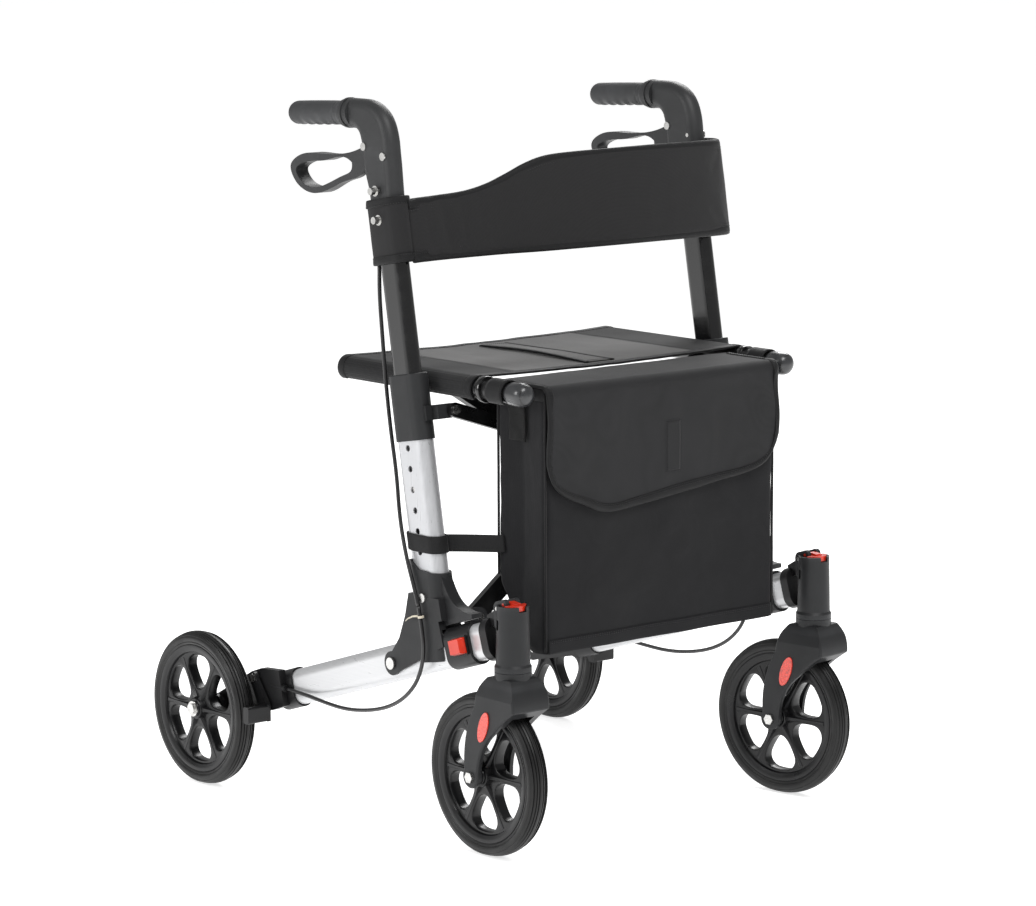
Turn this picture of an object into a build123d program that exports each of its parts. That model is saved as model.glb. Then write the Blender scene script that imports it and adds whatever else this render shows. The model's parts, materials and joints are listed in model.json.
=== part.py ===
from build123d import *
import math
import os

# Rollator walker with a sideways X fold, uprights that fold down rearwards and caster heads that fold up.
# Millimetres. +Z is up, -Y is the walking direction, +X is the user's left.
# The origin is on the floor under the middle of the frame.

# ---- driving dimensions ------------------------------------------------------------------------------
WHEEL_R = 100.0
TYRE_W = 28.0
TYRE_IN_R = 83.0
HUB_R = 15.0
HUB_W = 33.0
AXLE_R = 4.0

FRAME_X = 247.0
REAR_X = 294.5
REAR_Y = 264.0
STEM_Y = -311.0
TRAIL = 47.0
LEFT_SWIVEL = 9.0

TUBE_SLOPE = 17.5
TUBE_H = 46.0
TUBE_T = 25.0
TUBE_WALL = 2.0
TUBE_REAR = 250.0
TUBE_FRONT = -184.0
PIVOT_Y = -97.0
PIVOT_Z = 211.5

LEAN = 10.0
FOOT_Y = -155.6
FOOT_Z = 330.0
OUTER_L, OUTER_T = 54.0, 27.0
INNER_L, INNER_T = 43.0, 22.0
HOLE_PITCH = 25.4
BUTTON_Z = 432.5

SEAT_X = 212.0
SEAT_Z = 560.0
SEAT_TUBE_R = 12.5
SEAT_REAR = 58.0
SEAT_FRONT = -207.0
ARM_Y = -198.0
ARM_Z = 278.0
ARM_W = 24.0
ARM_T = 10.0
LINK_X = 220.0
LINK_Z = 527.5
LINK_REACH = 122.0
LINK_DROP = 18.7

GRIP_Z = 882.5
GRIP_DIP = 2.8
LEVER_Y, LEVER_Z = -46.0, 844.0
LEVER_NARROW, LEVER_WIDE = 4.0, 9.5

KNUCKLE_Y, KNUCKLE_Z = -297.0, 309.0
FLIP_Y, FLIP_Z = -306.0, 315.0
HEAD_TOP, HEAD_BOTTOM = 308.0, 234.5

BAG_X = 187.0
BAG_FRONT, BAG_BACK = -300.0, -209.0
BAG_TOP, BAG_BOTTOM = 562.0, 243.0
CLOTH = 3.0
RUN = 0.05
CABLE_R = 2.5

os.makedirs("parts", exist_ok=True)
SIDES = {"right": -1, "left": 1}

lean = math.radians(LEAN)
slope = math.radians(TUBE_SLOPE)
UP = Vector(0, math.sin(lean), math.cos(lean))
BACK = Vector(0, math.cos(lean), -math.sin(lean))
ALONG = Vector(0, math.cos(slope), -math.sin(slope))
OVER = Vector(0, math.sin(slope), math.cos(slope))


def keep(builder, label):
    builder.part.label = label
    export_step(builder.part, f"parts/{label}.step")


# ---- reference planes --------------------------------------------------------------------------------
def side_plane(x):
    """Side view at x: local x is +Y and local y is +Z."""
    return Plane(origin=(x, 0, 0), x_dir=(0, 1, 0), z_dir=(1, 0, 0))


def tube_plane(x):
    """Side view along the lower tube: local x runs rearwards from the pivot, local y is above the tube."""
    return Plane(origin=(x, PIVOT_Y, PIVOT_Z), x_dir=ALONG, z_dir=(1, 0, 0))


def tube_section(x, r):
    """Section across the lower tube, r behind the pivot: local x is above the tube."""
    at = Vector(x, PIVOT_Y, PIVOT_Z) + ALONG * r
    return Plane(origin=at, x_dir=OVER, z_dir=ALONG)


def axis_y(z):
    """The y of the upright's axis at height z."""
    return FOOT_Y + (z - FOOT_Z) * math.tan(lean)


def upright_section(x, z):
    """Section across the upright where its axis is at height z: local x is rearwards."""
    return Plane(origin=(x, axis_y(z), z), x_dir=BACK, z_dir=UP)


def brace_plane(w):
    """The plane of the X brace, w in front of its middle: local x is +X and local y runs up it."""
    forward = BACK * -1
    return Plane(origin=Vector(0, ARM_Y, ARM_Z) + forward * w, x_dir=(1, 0, 0), z_dir=forward)


def front_plane(x, y):
    """Front view at y: local x is +X and local y is +Z, from the height of the seat tubes at x."""
    return Plane(origin=(x, y, SEAT_Z), x_dir=(1, 0, 0), z_dir=(0, -1, 0))


def level_plane(x, y, z):
    return Plane(origin=(x, y, z), x_dir=(1, 0, 0), z_dir=(0, 0, 1))


def along(z_low, z_high):
    """Distance along the upright between two heights."""
    return (z_high - z_low) / math.cos(lean)


ARM_RISE = along(ARM_Z, SEAT_Z)
LINK_RISE = along(ARM_Z, LINK_Z)


def bar_x(s, x_low, x_high, y, z, r, mode=Mode.ADD):
    """A round bar along X between two distances from the middle, on side s."""
    with Locations(Location((s * (x_low + x_high) / 2, y, z), (0, 90, 0))):
        Cylinder(r, abs(x_high - x_low), mode=mode)


# ---- wheels ------------------------------------------------------------------------------------------
SPOKES = 6
SPOKE_W = 11.0
RIM_W = 24.0
RIM_T = 8.0
WEB_T = 10.0
WINDOW_IN, WINDOW_OUT = 25.0, 70.0
WINDOW_CORNER = 7.0
SHOULDER = 9.0


def wheel(plane, label):
    """Rim and tyre about the plane's normal, centred on the plane's origin."""
    with BuildPart() as rim:
        with BuildSketch(plane.offset(-RIM_W / 2)):
            Circle(TYRE_IN_R)
            Circle(TYRE_IN_R - RIM_T, mode=Mode.SUBTRACT)
        extrude(amount=RIM_W)
        with BuildSketch(plane.offset(-WEB_T / 2)):
            Circle(TYRE_IN_R - RIM_T + 1)
        extrude(amount=WEB_T)
        with BuildSketch(plane.offset(-HUB_W / 2)):
            Circle(HUB_R)
        extrude(amount=HUB_W)
        with BuildSketch(plane.offset(-RIM_W)) as windows:
            Circle(WINDOW_OUT)
            Circle(WINDOW_IN, mode=Mode.SUBTRACT)
            with PolarLocations(0, SPOKES):
                Rectangle(WHEEL_R, SPOKE_W, align=(Align.MIN, Align.CENTER), mode=Mode.SUBTRACT)
            fillet(windows.vertices(), WINDOW_CORNER)
        extrude(amount=2 * RIM_W, mode=Mode.SUBTRACT)
        with BuildSketch(plane.offset(-HUB_W)):
            Circle(AXLE_R + RUN)
        extrude(amount=2 * HUB_W, mode=Mode.SUBTRACT)
    keep(rim, f"{label}_rim")

    with BuildPart() as tyre:
        with BuildSketch(plane.offset(-TYRE_W / 2)):
            Circle(WHEEL_R)
            Circle(TYRE_IN_R, mode=Mode.SUBTRACT)
        extrude(amount=TYRE_W)
        rounds = tyre.edges().filter_by(GeomType.CIRCLE)
        fillet(rounds.filter_by(lambda edge: edge.radius > WHEEL_R - 1), SHOULDER)
    keep(tyre, f"{label}_tyre")


# ---- base: lower tube and what is fixed to it --------------------------------------------------------
SLEEVE_REAR, SLEEVE_FRONT = -110.0, -158.0
SLEEVE_H, SLEEVE_T = 53.0, 33.0
FLANGE_REACH = 9.0
FLANGE_GRIP = 4.0
HEAD_CLEAR_R = 24.0
LUG_T = 10.0
LUG_R = 6.5
PLATE_IN, PLATE_OUT = 260.0, 270.0
BOSS_OUT = 277.5
BRAKE_Y, BRAKE_Z = 178.0, 150.0
CABLE_END_Y, CABLE_END_Z, CABLE_END_X = 121.0, 143.5, 266.0
BUTTON_R = -143.0
BUTTON_L, BUTTON_H = 22.0, 20.0
POCKET_FLOOR = 260.2


def lower_tube(side, s):
    x = s * FRAME_X
    with BuildPart() as tube:
        with BuildSketch(tube_section(x, TUBE_FRONT)):
            SlotOverall(TUBE_H, TUBE_T)
            SlotOverall(TUBE_H - 2 * TUBE_WALL, TUBE_T - 2 * TUBE_WALL, mode=Mode.SUBTRACT)
        extrude(amount=TUBE_REAR - TUBE_FRONT)
        bar_x(s, FRAME_X - 20, FRAME_X + 20, PIVOT_Y, PIVOT_Z, 4, Mode.SUBTRACT)
    keep(tube, f"lower_tube_{side}")


def end_brackets(side, s):
    """Front flange with the knuckle lug, and the rear bracket with the axle boss and the brake pivot."""
    x = s * FRAME_X
    with BuildPart() as brackets:
        # front flange: a cap on the tube, hollowed to the round of the caster head
        with BuildSketch(tube_section(x, TUBE_FRONT - FLANGE_REACH)):
            SlotOverall(TUBE_H + 6, TUBE_T + 6)
        extrude(amount=FLANGE_REACH + FLANGE_GRIP)
        with BuildSketch(tube_section(x, TUBE_FRONT)):
            SlotOverall(TUBE_H, TUBE_T)
        extrude(amount=30, mode=Mode.SUBTRACT)
        with BuildSketch(level_plane(x, STEM_Y, 200)):
            Circle(HEAD_CLEAR_R)
        extrude(amount=120, mode=Mode.SUBTRACT)
        # knuckle lug
        with BuildSketch(side_plane(x)):
            Polygon((-268, 296), (-282, 304), (-295, 315), (-302, 305), (-296, 298), (-284, 286),
                    (-270, 280), align=None)
            with Locations((KNUCKLE_Y, KNUCKLE_Z)):
                Circle(LUG_R)
        extrude(amount=LUG_T / 2, both=True)
        # rear cap on the tube
        with BuildSketch(tube_section(x, TUBE_REAR - 30)):
            SlotOverall(TUBE_H + 5, TUBE_T + 5)
        extrude(amount=35)
        with BuildSketch(tube_section(x, TUBE_REAR - 40)):
            SlotOverall(TUBE_H, TUBE_T)
        extrude(amount=40, mode=Mode.SUBTRACT)
        # arm to the axle
        with BuildSketch(side_plane(min(s * PLATE_IN, s * PLATE_OUT))):
            with BuildLine():
                Polyline((122, 121), (132, 166), (170, 163), (190, 156), (266, 115), (260, 86), (146, 112),
                         (122, 121))
            make_face()
            with Locations((REAR_Y, WHEEL_R)):
                Circle(15)
                Circle(AXLE_R, mode=Mode.SUBTRACT)
            with Locations((BRAKE_Y, BRAKE_Z)):
                Circle(3, mode=Mode.SUBTRACT)
        extrude(amount=PLATE_OUT - PLATE_IN)
        with BuildSketch(side_plane(min(s * PLATE_OUT, s * BOSS_OUT))):
            with Locations((REAR_Y, WHEEL_R)):
                Circle(15)
                Circle(AXLE_R, mode=Mode.SUBTRACT)
        extrude(amount=BOSS_OUT - PLATE_OUT)
        # barrel where the brake cable's outer ends
        with Locations(Location((s * CABLE_END_X, CABLE_END_Y + 15.2, CABLE_END_Z), (90, 0, 0))):
            Cylinder(4.5, 30)
        bar_x(s, FRAME_X - 20, FRAME_X + 20, KNUCKLE_Y, KNUCKLE_Z, 3, Mode.SUBTRACT)
    keep(brackets, f"end_brackets_{side}")


def latch_sleeve(side, s):
    """Sleeve on the lower tube that the housing closes on, with the pocket of the red button."""
    x = s * FRAME_X
    face = POCKET_FLOOR - FRAME_X
    with BuildPart() as sleeve:
        with BuildSketch(tube_section(x, SLEEVE_FRONT)):
            SlotOverall(SLEEVE_H, SLEEVE_T)
        extrude(amount=SLEEVE_REAR - SLEEVE_FRONT)
        with BuildSketch(tube_plane(x)):
            with Locations((BUTTON_R, 0)):
                RectangleRounded(BUTTON_L + 4, BUTTON_H + 4, 3)
        extrude(amount=s * 19)
        with BuildSketch(tube_section(x, SLEEVE_FRONT - 5)):
            SlotOverall(TUBE_H, TUBE_T)
        extrude(amount=SLEEVE_REAR - SLEEVE_FRONT + 10, mode=Mode.SUBTRACT)
        with BuildSketch(tube_plane(x + s * face)):
            with Locations((BUTTON_R, 0)):
                RectangleRounded(BUTTON_L + 0.6, BUTTON_H + 0.6, 2)
        extrude(amount=s * 20, mode=Mode.SUBTRACT)
    keep(sleeve, f"latch_sleeve_{side}")


def hinge_button(side, s):
    x = s * FRAME_X
    with BuildPart() as button:
        with BuildSketch(tube_plane(x + s * 16.4)):
            with Locations((BUTTON_R, 0)):
                RectangleRounded(BUTTON_L, BUTTON_H, 2)
        extrude(amount=s * 6)
        with BuildSketch(tube_plane(x + s * 22.4)):
            with Locations((BUTTON_R, 0)):
                RectangleRounded(BUTTON_L, BUTTON_H, 2)
        extrude(amount=s * 6, taper=14)
    keep(button, f"hinge_button_{side}")


def base_pins(side, s):
    """Pivot pin of the upright, rear axle, brake pin and knuckle pin."""
    with BuildPart() as pins:
        bar_x(s, FRAME_X - 19.5, FRAME_X + 19.5, PIVOT_Y, PIVOT_Z, 4)
        bar_x(s, FRAME_X - 20.5, FRAME_X - 17.8, PIVOT_Y, PIVOT_Z, 7.5)
        bar_x(s, FRAME_X + 17.8, FRAME_X + 20.5, PIVOT_Y, PIVOT_Z, 7.5)
        bar_x(s, PLATE_IN, REAR_X + 21.5, REAR_Y, WHEEL_R, AXLE_R)
        bar_x(s, REAR_X + 17, REAR_X + 18.5, REAR_Y, WHEEL_R, 10)
        bar_x(s, REAR_X + 18.5, REAR_X + 21.5, REAR_Y, WHEEL_R, 7)
        bar_x(s, PLATE_IN, 280, BRAKE_Y, BRAKE_Z, 3)
        bar_x(s, 277.9, 280, BRAKE_Y, BRAKE_Z, 5.5)
        bar_x(s, FRAME_X - 13, FRAME_X + 13, KNUCKLE_Y, KNUCKLE_Z, 3)
    keep(pins, f"base_pins_{side}")


SHOE_FRONT, SHOE_REAR = 146.5, 157.5
SHOE_LOW, SHOE_HIGH = 98.0, 120.0
SHOE_OUT = 308.0
BRAKE_PLATE = 272.6


def brake_arm(side, s):
    with BuildPart() as arm:
        with BuildSketch(side_plane(min(s * BRAKE_PLATE, s * (BRAKE_PLATE + 5)))):
            Polygon((170, 150), (186, 150), (SHOE_REAR, SHOE_LOW), (SHOE_FRONT, SHOE_LOW),
                    (SHOE_FRONT, SHOE_HIGH), align=None)
            with Locations((BRAKE_Y, BRAKE_Z)):
                Circle(8)
        extrude(amount=5)
        with BuildSketch(side_plane(min(s * BRAKE_PLATE, s * SHOE_OUT))):
            with Locations(((SHOE_FRONT + SHOE_REAR) / 2, (SHOE_LOW + SHOE_HIGH) / 2)):
                RectangleRounded(SHOE_REAR - SHOE_FRONT, SHOE_HIGH - SHOE_LOW, 3)
        extrude(amount=SHOE_OUT - BRAKE_PLATE)
        bar_x(s, BRAKE_PLATE - 5, BRAKE_PLATE + 10, BRAKE_Y, BRAKE_Z, 3 + RUN, Mode.SUBTRACT)
    keep(arm, f"brake_arm_{side}")


# ---- caster heads ------------------------------------------------------------------------------------
STEM_R = 7.0
CHEEK = 11.0


def head_housing(side, s):
    """Tapered moulding round the caster stem, with two cheeks at its knuckle and a cap for the lever."""
    x = s * FRAME_X
    with BuildPart() as head:
        with BuildSketch(Plane(origin=(x, STEM_Y, 0), x_dir=(1, 0, 0), z_dir=(0, -1, 0))):
            with BuildLine():
                Polyline((0, HEAD_BOTTOM), (22.5, HEAD_BOTTOM), (22.5, HEAD_BOTTOM + 6))
                Line((22.5, HEAD_BOTTOM + 6), (20.8, HEAD_BOTTOM + 9))
                Line((20.8, HEAD_BOTTOM + 9), (19.6, HEAD_TOP + 6))
                Polyline((19.6, HEAD_TOP + 6), (17.2, HEAD_TOP + 6), (17.2, HEAD_TOP), (0, HEAD_TOP))
                Line((0, HEAD_TOP), (0, HEAD_BOTTOM))
            make_face()
        revolve(axis=Axis((x, STEM_Y, 0), (0, 0, 1)))
        with BuildSketch(side_plane(x)):
            Polygon((-302, 280), (-290, 286), (-288, 309), (-299, 319), (-308, 321), (-312, 315),
                    (-313, 300), align=None)
            with Locations((KNUCKLE_Y, KNUCKLE_Z)):
                Circle(9)
            with Locations((FLIP_Y, FLIP_Z)):
                Circle(6)
        extrude(amount=CHEEK, both=True)
        # room between the cheeks for the lug and the lever
        with BuildSketch(side_plane(x)):
            Polygon((-305, 297), (-270, 262), (-270, 340), (-335, 340), (-335, HEAD_TOP), (-305, HEAD_TOP),
                    align=None)
        extrude(amount=LUG_T / 2 + 0.6, both=True, mode=Mode.SUBTRACT)
        # oval slot in each side
        with BuildSketch(side_plane(x)):
            with Locations(Location((STEM_Y + 6, 291), 90)):
                SlotOverall(13, 5)
        extrude(amount=30, both=True, mode=Mode.SUBTRACT)
        with BuildSketch(side_plane(x)):
            with Locations(Location((STEM_Y + 6, 291), 90)):
                SlotOverall(15, 7)
        extrude(amount=15, both=True)
        with BuildSketch(level_plane(x, STEM_Y, HEAD_BOTTOM - 1)):
            Circle(STEM_R + RUN)
        extrude(amount=60, mode=Mode.SUBTRACT)
        bar_x(s, FRAME_X - 20, FRAME_X + 20, KNUCKLE_Y, KNUCKLE_Z, 3 + RUN, Mode.SUBTRACT)
        bar_x(s, FRAME_X - 20, FRAME_X + 20, FLIP_Y, FLIP_Z, 2 + RUN, Mode.SUBTRACT)
        bar_x(s, FRAME_X - 5.6, FRAME_X + 5.6, KNUCKLE_Y, KNUCKLE_Z, 8, Mode.SUBTRACT)
    keep(head, f"head_housing_{side}")


def head_lever(side, s):
    """Red flip lever in the cap, on its own small pin."""
    x = s * FRAME_X
    with BuildPart() as lever:
        with BuildSketch(level_plane(x, STEM_Y, HEAD_TOP + 0.6)):
            Circle(16)
            with Locations((0, 6.5)):
                Rectangle(40, 20, mode=Mode.SUBTRACT)
        extrude(amount=6.5)
        with BuildSketch(side_plane(x)):
            Polygon((-320, 309), (-308, 312.6), (-308, 318.4), (-320, 317), align=None)
            with Locations((FLIP_Y, FLIP_Z)):
                Circle(3)
        extrude(amount=4.8, both=True)
        bar_x(s, FRAME_X - 11, FRAME_X + 11, FLIP_Y, FLIP_Z, 2)
    keep(lever, f"head_lever_{side}")


FORK_TOP = 234.0
CROWN_TOP = 227.0
ARCH_R = 103.5
ARCH_HALF = 17.0
LEG_IN, LEG_OUT = 22.0, 29.0
NECK, SHOULDER_Z = 21.0, 186.0
REFLECTOR_T, REFLECTOR_Z = 21.0, 166.0


def caster(side, s, swivel):
    """Fork, reflectors, stem and axle, and the front wheel, turned by swivel about the stem."""
    turn = math.radians(swivel)
    across = Vector(math.cos(turn), math.sin(turn), 0)
    trail = Vector(-math.sin(turn), math.cos(turn), 0)
    stem = Vector(s * FRAME_X, STEM_Y, 0)

    def fork_plane(offset):
        return Plane(origin=stem + across * offset, x_dir=trail, z_dir=across)

    with BuildPart() as fork:
        with BuildSketch(fork_plane(0)) as outline:
            with BuildLine():
                Line((-NECK, CROWN_TOP), (NECK, CROWN_TOP))
                ThreePointArc((NECK, CROWN_TOP), (34, 210), (40, 190))
                ThreePointArc((40, 190), (54, 160), (60, 108))
                ThreePointArc((60, 108), (47, 86), (34, 100))
                ThreePointArc((34, 100), (26, 135), (4, 160))
                ThreePointArc((4, 160), (-14, 176), (-34, 190))
                ThreePointArc((-34, 190), (-31, 210), (-NECK, CROWN_TOP))
            make_face()
            fillet(outline.vertices(), 3.5)
        extrude(amount=LEG_OUT, both=True)
        sides = fork.faces().filter_by(GeomType.PLANE).sort_by(lambda face: -face.area)[:2]
        fillet(sides.edges(), 3)
        # from the front the crown narrows to the neck
        with BuildSketch(Plane(origin=stem, x_dir=across, z_dir=trail * -1)):
            with BuildLine():
                Polyline((-LEG_OUT - 2, SHOULDER_Z), (-LEG_OUT - 2, 70), (LEG_OUT + 2, 70),
                         (LEG_OUT + 2, SHOULDER_Z))
                ThreePointArc((LEG_OUT + 2, SHOULDER_Z), (27.6, 209), (NECK, CROWN_TOP + 1))
                Line((NECK, CROWN_TOP + 1), (-NECK, CROWN_TOP + 1))
                ThreePointArc((-NECK, CROWN_TOP + 1), (-27.6, 209), (-LEG_OUT - 2, SHOULDER_Z))
            make_face()
        extrude(amount=120, both=True, mode=Mode.INTERSECT)
        with BuildSketch(fork_plane(0)):
            with Locations((TRAIL, WHEEL_R)):
                Circle(ARCH_R)
        extrude(amount=ARCH_HALF, both=True, mode=Mode.SUBTRACT)
        with BuildSketch(fork_plane(0)):
            with Locations((TRAIL, WHEEL_R)):
                Circle(ARCH_R - 18)
        extrude(amount=LEG_IN, both=True, mode=Mode.SUBTRACT)
        with BuildSketch(fork_plane(-LEG_IN)):
            with Locations((TRAIL, WHEEL_R)):
                Circle(9)
        extrude(amount=LEG_IN - HUB_W / 2 - 0.4)
        with BuildSketch(fork_plane(LEG_IN)):
            with Locations((TRAIL, WHEEL_R)):
                Circle(9)
        extrude(amount=-(LEG_IN - HUB_W / 2 - 0.4))
        with BuildSketch(level_plane(s * FRAME_X, STEM_Y, CROWN_TOP - 8)):
            Circle(22.5)
        extrude(amount=FORK_TOP - CROWN_TOP + 8)
        with BuildSketch(level_plane(s * FRAME_X, STEM_Y, 190)):
            Circle(STEM_R)
        extrude(amount=60, mode=Mode.SUBTRACT)
        with BuildSketch(fork_plane(-40)):
            with Locations((TRAIL, WHEEL_R)):
                Circle(AXLE_R)
        extrude(amount=80, mode=Mode.SUBTRACT)
    keep(fork, f"fork_{side}")

    with BuildPart() as reflectors:
        with BuildSketch(fork_plane(LEG_OUT)):
            with Locations(Location((REFLECTOR_T, REFLECTOR_Z), 20)):
                Ellipse(8, 20)
        extrude(amount=1.5)
        with BuildSketch(fork_plane(-LEG_OUT)):
            with Locations(Location((REFLECTOR_T, REFLECTOR_Z), 20)):
                Ellipse(8, 20)
        extrude(amount=-1.5)
    keep(reflectors, f"reflectors_{side}")

    with BuildPart() as pins:
        with BuildSketch(level_plane(s * FRAME_X, STEM_Y, 196)):
            Circle(STEM_R)
        extrude(amount=92)
        with BuildSketch(fork_plane(-LEG_OUT - 1)):
            with Locations((TRAIL, WHEEL_R)):
                Circle(AXLE_R)
        extrude(amount=2 * LEG_OUT + 2)
        with BuildSketch(fork_plane(LEG_OUT)):
            with Locations((TRAIL, WHEEL_R)):
                RegularPolygon(7, 6)
        extrude(amount=3.5)
        with BuildSketch(fork_plane(-LEG_OUT)):
            with Locations((TRAIL, WHEEL_R)):
                RegularPolygon(7, 6)
        extrude(amount=-3.5)
    keep(pins, f"fork_pins_{side}")

    centre = stem + trail * TRAIL + Vector(0, 0, WHEEL_R)
    wheel(Plane(origin=centre, x_dir=(0, 0, 1), z_dir=across), f"front_{side}")


# ---- uprights ----------------------------------------------------------------------------------------
HOUSING_HALF = 17.0
CHEEK_GAP = 13.5
WING_HALF = 8.0
COLUMN_TOP = 350.0
OUTER_LOW, OUTER_TOP = 276.0, 565.0
COLLAR_LOW, COLLAR_TOP = 491.0, 571.0
COLLAR_L, COLLAR_T = 58.0, 31.0
PIN_R = 4.0
ARM_CLEAR = 1.0
CLIP_Y, CLIP_Z = -161.0, 303.0


def hinge_housing(side, s):
    """Moulded housing: column round the outer tube, cheeks over the lower tube, wing and brace lug."""
    x = s * FRAME_X
    with BuildPart() as housing:
        with BuildSketch(upright_section(x, 225)):
            SlotOverall(60, 2 * HOUSING_HALF)
        extrude(amount=along(225, COLUMN_TOP))
        with BuildSketch(side_plane(x)):
            with BuildLine():
                Polyline((-97, 226.5), (-112, 246), (-124, 276), (-131, 305), (-190, 305), (-203, 250),
                         (-97, 196.5))
                Line((-97, 196.5), (-97, 226.5))
            make_face()
            with Locations((PIVOT_Y, PIVOT_Z)):
                Circle(15)
        extrude(amount=HOUSING_HALF, both=True)
        # nothing below the cheeks' lower edge or in front of the latch sleeve
        with BuildSketch(tube_plane(x)):
            with Locations((-70, -54.5)):
                Rectangle(110, 80)
            with Locations((-158, 0)):
                Rectangle(100, 70)
        extrude(amount=40, both=True, mode=Mode.SUBTRACT)
        # wing from the column over the sleeve
        with BuildSketch(side_plane(x)):
            with BuildLine():
                Spline((-176, 344), (-190, 322), (-206, 303), (-224, 295), (-243, 293.5))
                Polyline((-243, 293.5), (-243, 288), (-196, 273), (-170, 262), (-176, 344))
            make_face()
        extrude(amount=WING_HALF, both=True)
        # slot for the lower tube, open above the pivot
        with BuildSketch(tube_plane(x)):
            Polygon((-115, -45), (30, -45), (30, 70), (-24, 70), (-24, 24.5), (-115, 24.5), align=None)
        extrude(amount=CHEEK_GAP, both=True, mode=Mode.SUBTRACT)
        # lug for the brace pivot
        with BuildSketch(brace_plane(0)):
            with Locations((s * SEAT_X, 0)):
                Circle(ARM_W / 2)
            Polygon((s * SEAT_X, 2), (s * 242, 3), (s * 242, 14), (s * SEAT_X, 12), align=None)
        extrude(amount=-s * 8)
        # bore for the outer tube and a sloping top edge
        with BuildSketch(upright_section(x, OUTER_LOW)):
            SlotOverall(OUTER_L, OUTER_T)
        extrude(amount=100, mode=Mode.SUBTRACT)
        with BuildSketch(side_plane(x)):
            with BuildLine():
                Polyline((-120, 356), (-150, 336), (-195, 334), (-195, 380), (-120, 380), (-120, 356))
            make_face()
        extrude(amount=40, both=True, mode=Mode.SUBTRACT)
        bar_x(s, FRAME_X - 25, FRAME_X + 25, PIVOT_Y, PIVOT_Z, 4 + RUN, Mode.SUBTRACT)
        with BuildSketch(brace_plane(-30)):
            with Locations((s * SEAT_X, 0)):
                Circle(PIN_R)
        extrude(amount=60, mode=Mode.SUBTRACT)
    keep(housing, f"hinge_housing_{side}")


def upright_tubes(side, s):
    """Outer tube with the row of height holes, and its top collar with the link's lug."""
    x = s * FRAME_X
    with BuildPart() as outer:
        with BuildSketch(upright_section(x, OUTER_LOW)):
            SlotOverall(OUTER_L, OUTER_T)
            SlotOverall(OUTER_L - 2 * TUBE_WALL, OUTER_T - 2 * TUBE_WALL, mode=Mode.SUBTRACT)
        extrude(amount=along(OUTER_LOW, OUTER_TOP))
        for step in range(-3, 3):
            z = BUTTON_Z + step * HOLE_PITCH * math.cos(lean)
            bar_x(s, FRAME_X + 5, FRAME_X + 20, axis_y(z), z, 4, Mode.SUBTRACT)
    keep(outer, f"outer_tube_{side}")

    with BuildPart() as collar:
        with BuildSketch(upright_section(x, COLLAR_LOW)):
            SlotOverall(COLLAR_L, COLLAR_T)
        extrude(amount=along(COLLAR_LOW, COLLAR_TOP))
        fillet(collar.edges().group_by(Axis.Z)[-1], 1.5)
        with BuildSketch(brace_plane(0)):
            with Locations((s * LINK_X, LINK_RISE)):
                Circle(9)
            with Locations((s * (LINK_X + 11), LINK_RISE)):
                Rectangle(22, 18)
        extrude(amount=-s * 11)
        with BuildSketch(brace_plane(0)):
            with Locations((s * (FRAME_X - 5), LINK_RISE)):
                Rectangle(20, 18)
        extrude(amount=-20)
        with BuildSketch(upright_section(x, COLLAR_LOW - 1)):
            SlotOverall(OUTER_L, OUTER_T)
        extrude(amount=along(COLLAR_LOW - 1, OUTER_TOP), mode=Mode.SUBTRACT)
        with BuildSketch(upright_section(x, COLLAR_LOW - 1)):
            SlotOverall(INNER_L + 0.6, INNER_T + 0.6)
        extrude(amount=120, mode=Mode.SUBTRACT)
        with BuildSketch(brace_plane(-30)):
            with Locations((s * LINK_X, LINK_RISE)):
                Circle(3)
        extrude(amount=60, mode=Mode.SUBTRACT)
    keep(collar, f"collar_{side}")


def upright_pins(side, s):
    """Brace pivot pin, link pin and the screw of the cable clip."""
    x = s * FRAME_X
    with BuildPart() as pins:
        with BuildSketch(brace_plane(s * 13)):
            with Locations((s * SEAT_X, 0)):
                Circle(PIN_R)
        extrude(amount=-s * 24)
        with BuildSketch(brace_plane(s * 12)):
            with Locations((s * SEAT_X, 0)):
                Circle(7)
        extrude(amount=s * 2.5)
        with BuildSketch(brace_plane(s * 2)):
            with Locations((s * LINK_X, LINK_RISE)):
                Circle(3)
        extrude(amount=-s * 22)
        with BuildSketch(brace_plane(-s * 18.4)):
            with Locations((s * LINK_X, LINK_RISE)):
                Circle(5.5)
        extrude(amount=-s * 2.5)
        bar_x(s, FRAME_X + HOUSING_HALF, FRAME_X + HOUSING_HALF + 3, CLIP_Y, CLIP_Z, 5.5)
    keep(pins, f"upright_pins_{side}")


# ---- handles -----------------------------------------------------------------------------------------
INNER_LOW, INNER_TOP = 405.0, 785.0
COLUMN_L, COLUMN_T = 50.0, 26.0
COLUMN_LOW = 742.0
COLUMN_ROUND = 12.0
BOLT_ZS = (757.0, 792.0)
SCREW_Y, SCREW_Z = -84.0, 834.0
GRIP_FRONT_Y = -1.0
GRIP_R = 15.0


def grip_plane(distance):
    """Section across the grip, this far behind its front end."""
    dip = math.radians(GRIP_DIP)
    rearward = Vector(0, math.cos(dip), -math.sin(dip))
    shift = Vector(0, GRIP_FRONT_Y, GRIP_Z) + rearward * distance
    return lambda x: Plane(origin=Vector(x, 0, 0) + shift, x_dir=(1, 0, 0), z_dir=rearward)


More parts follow.
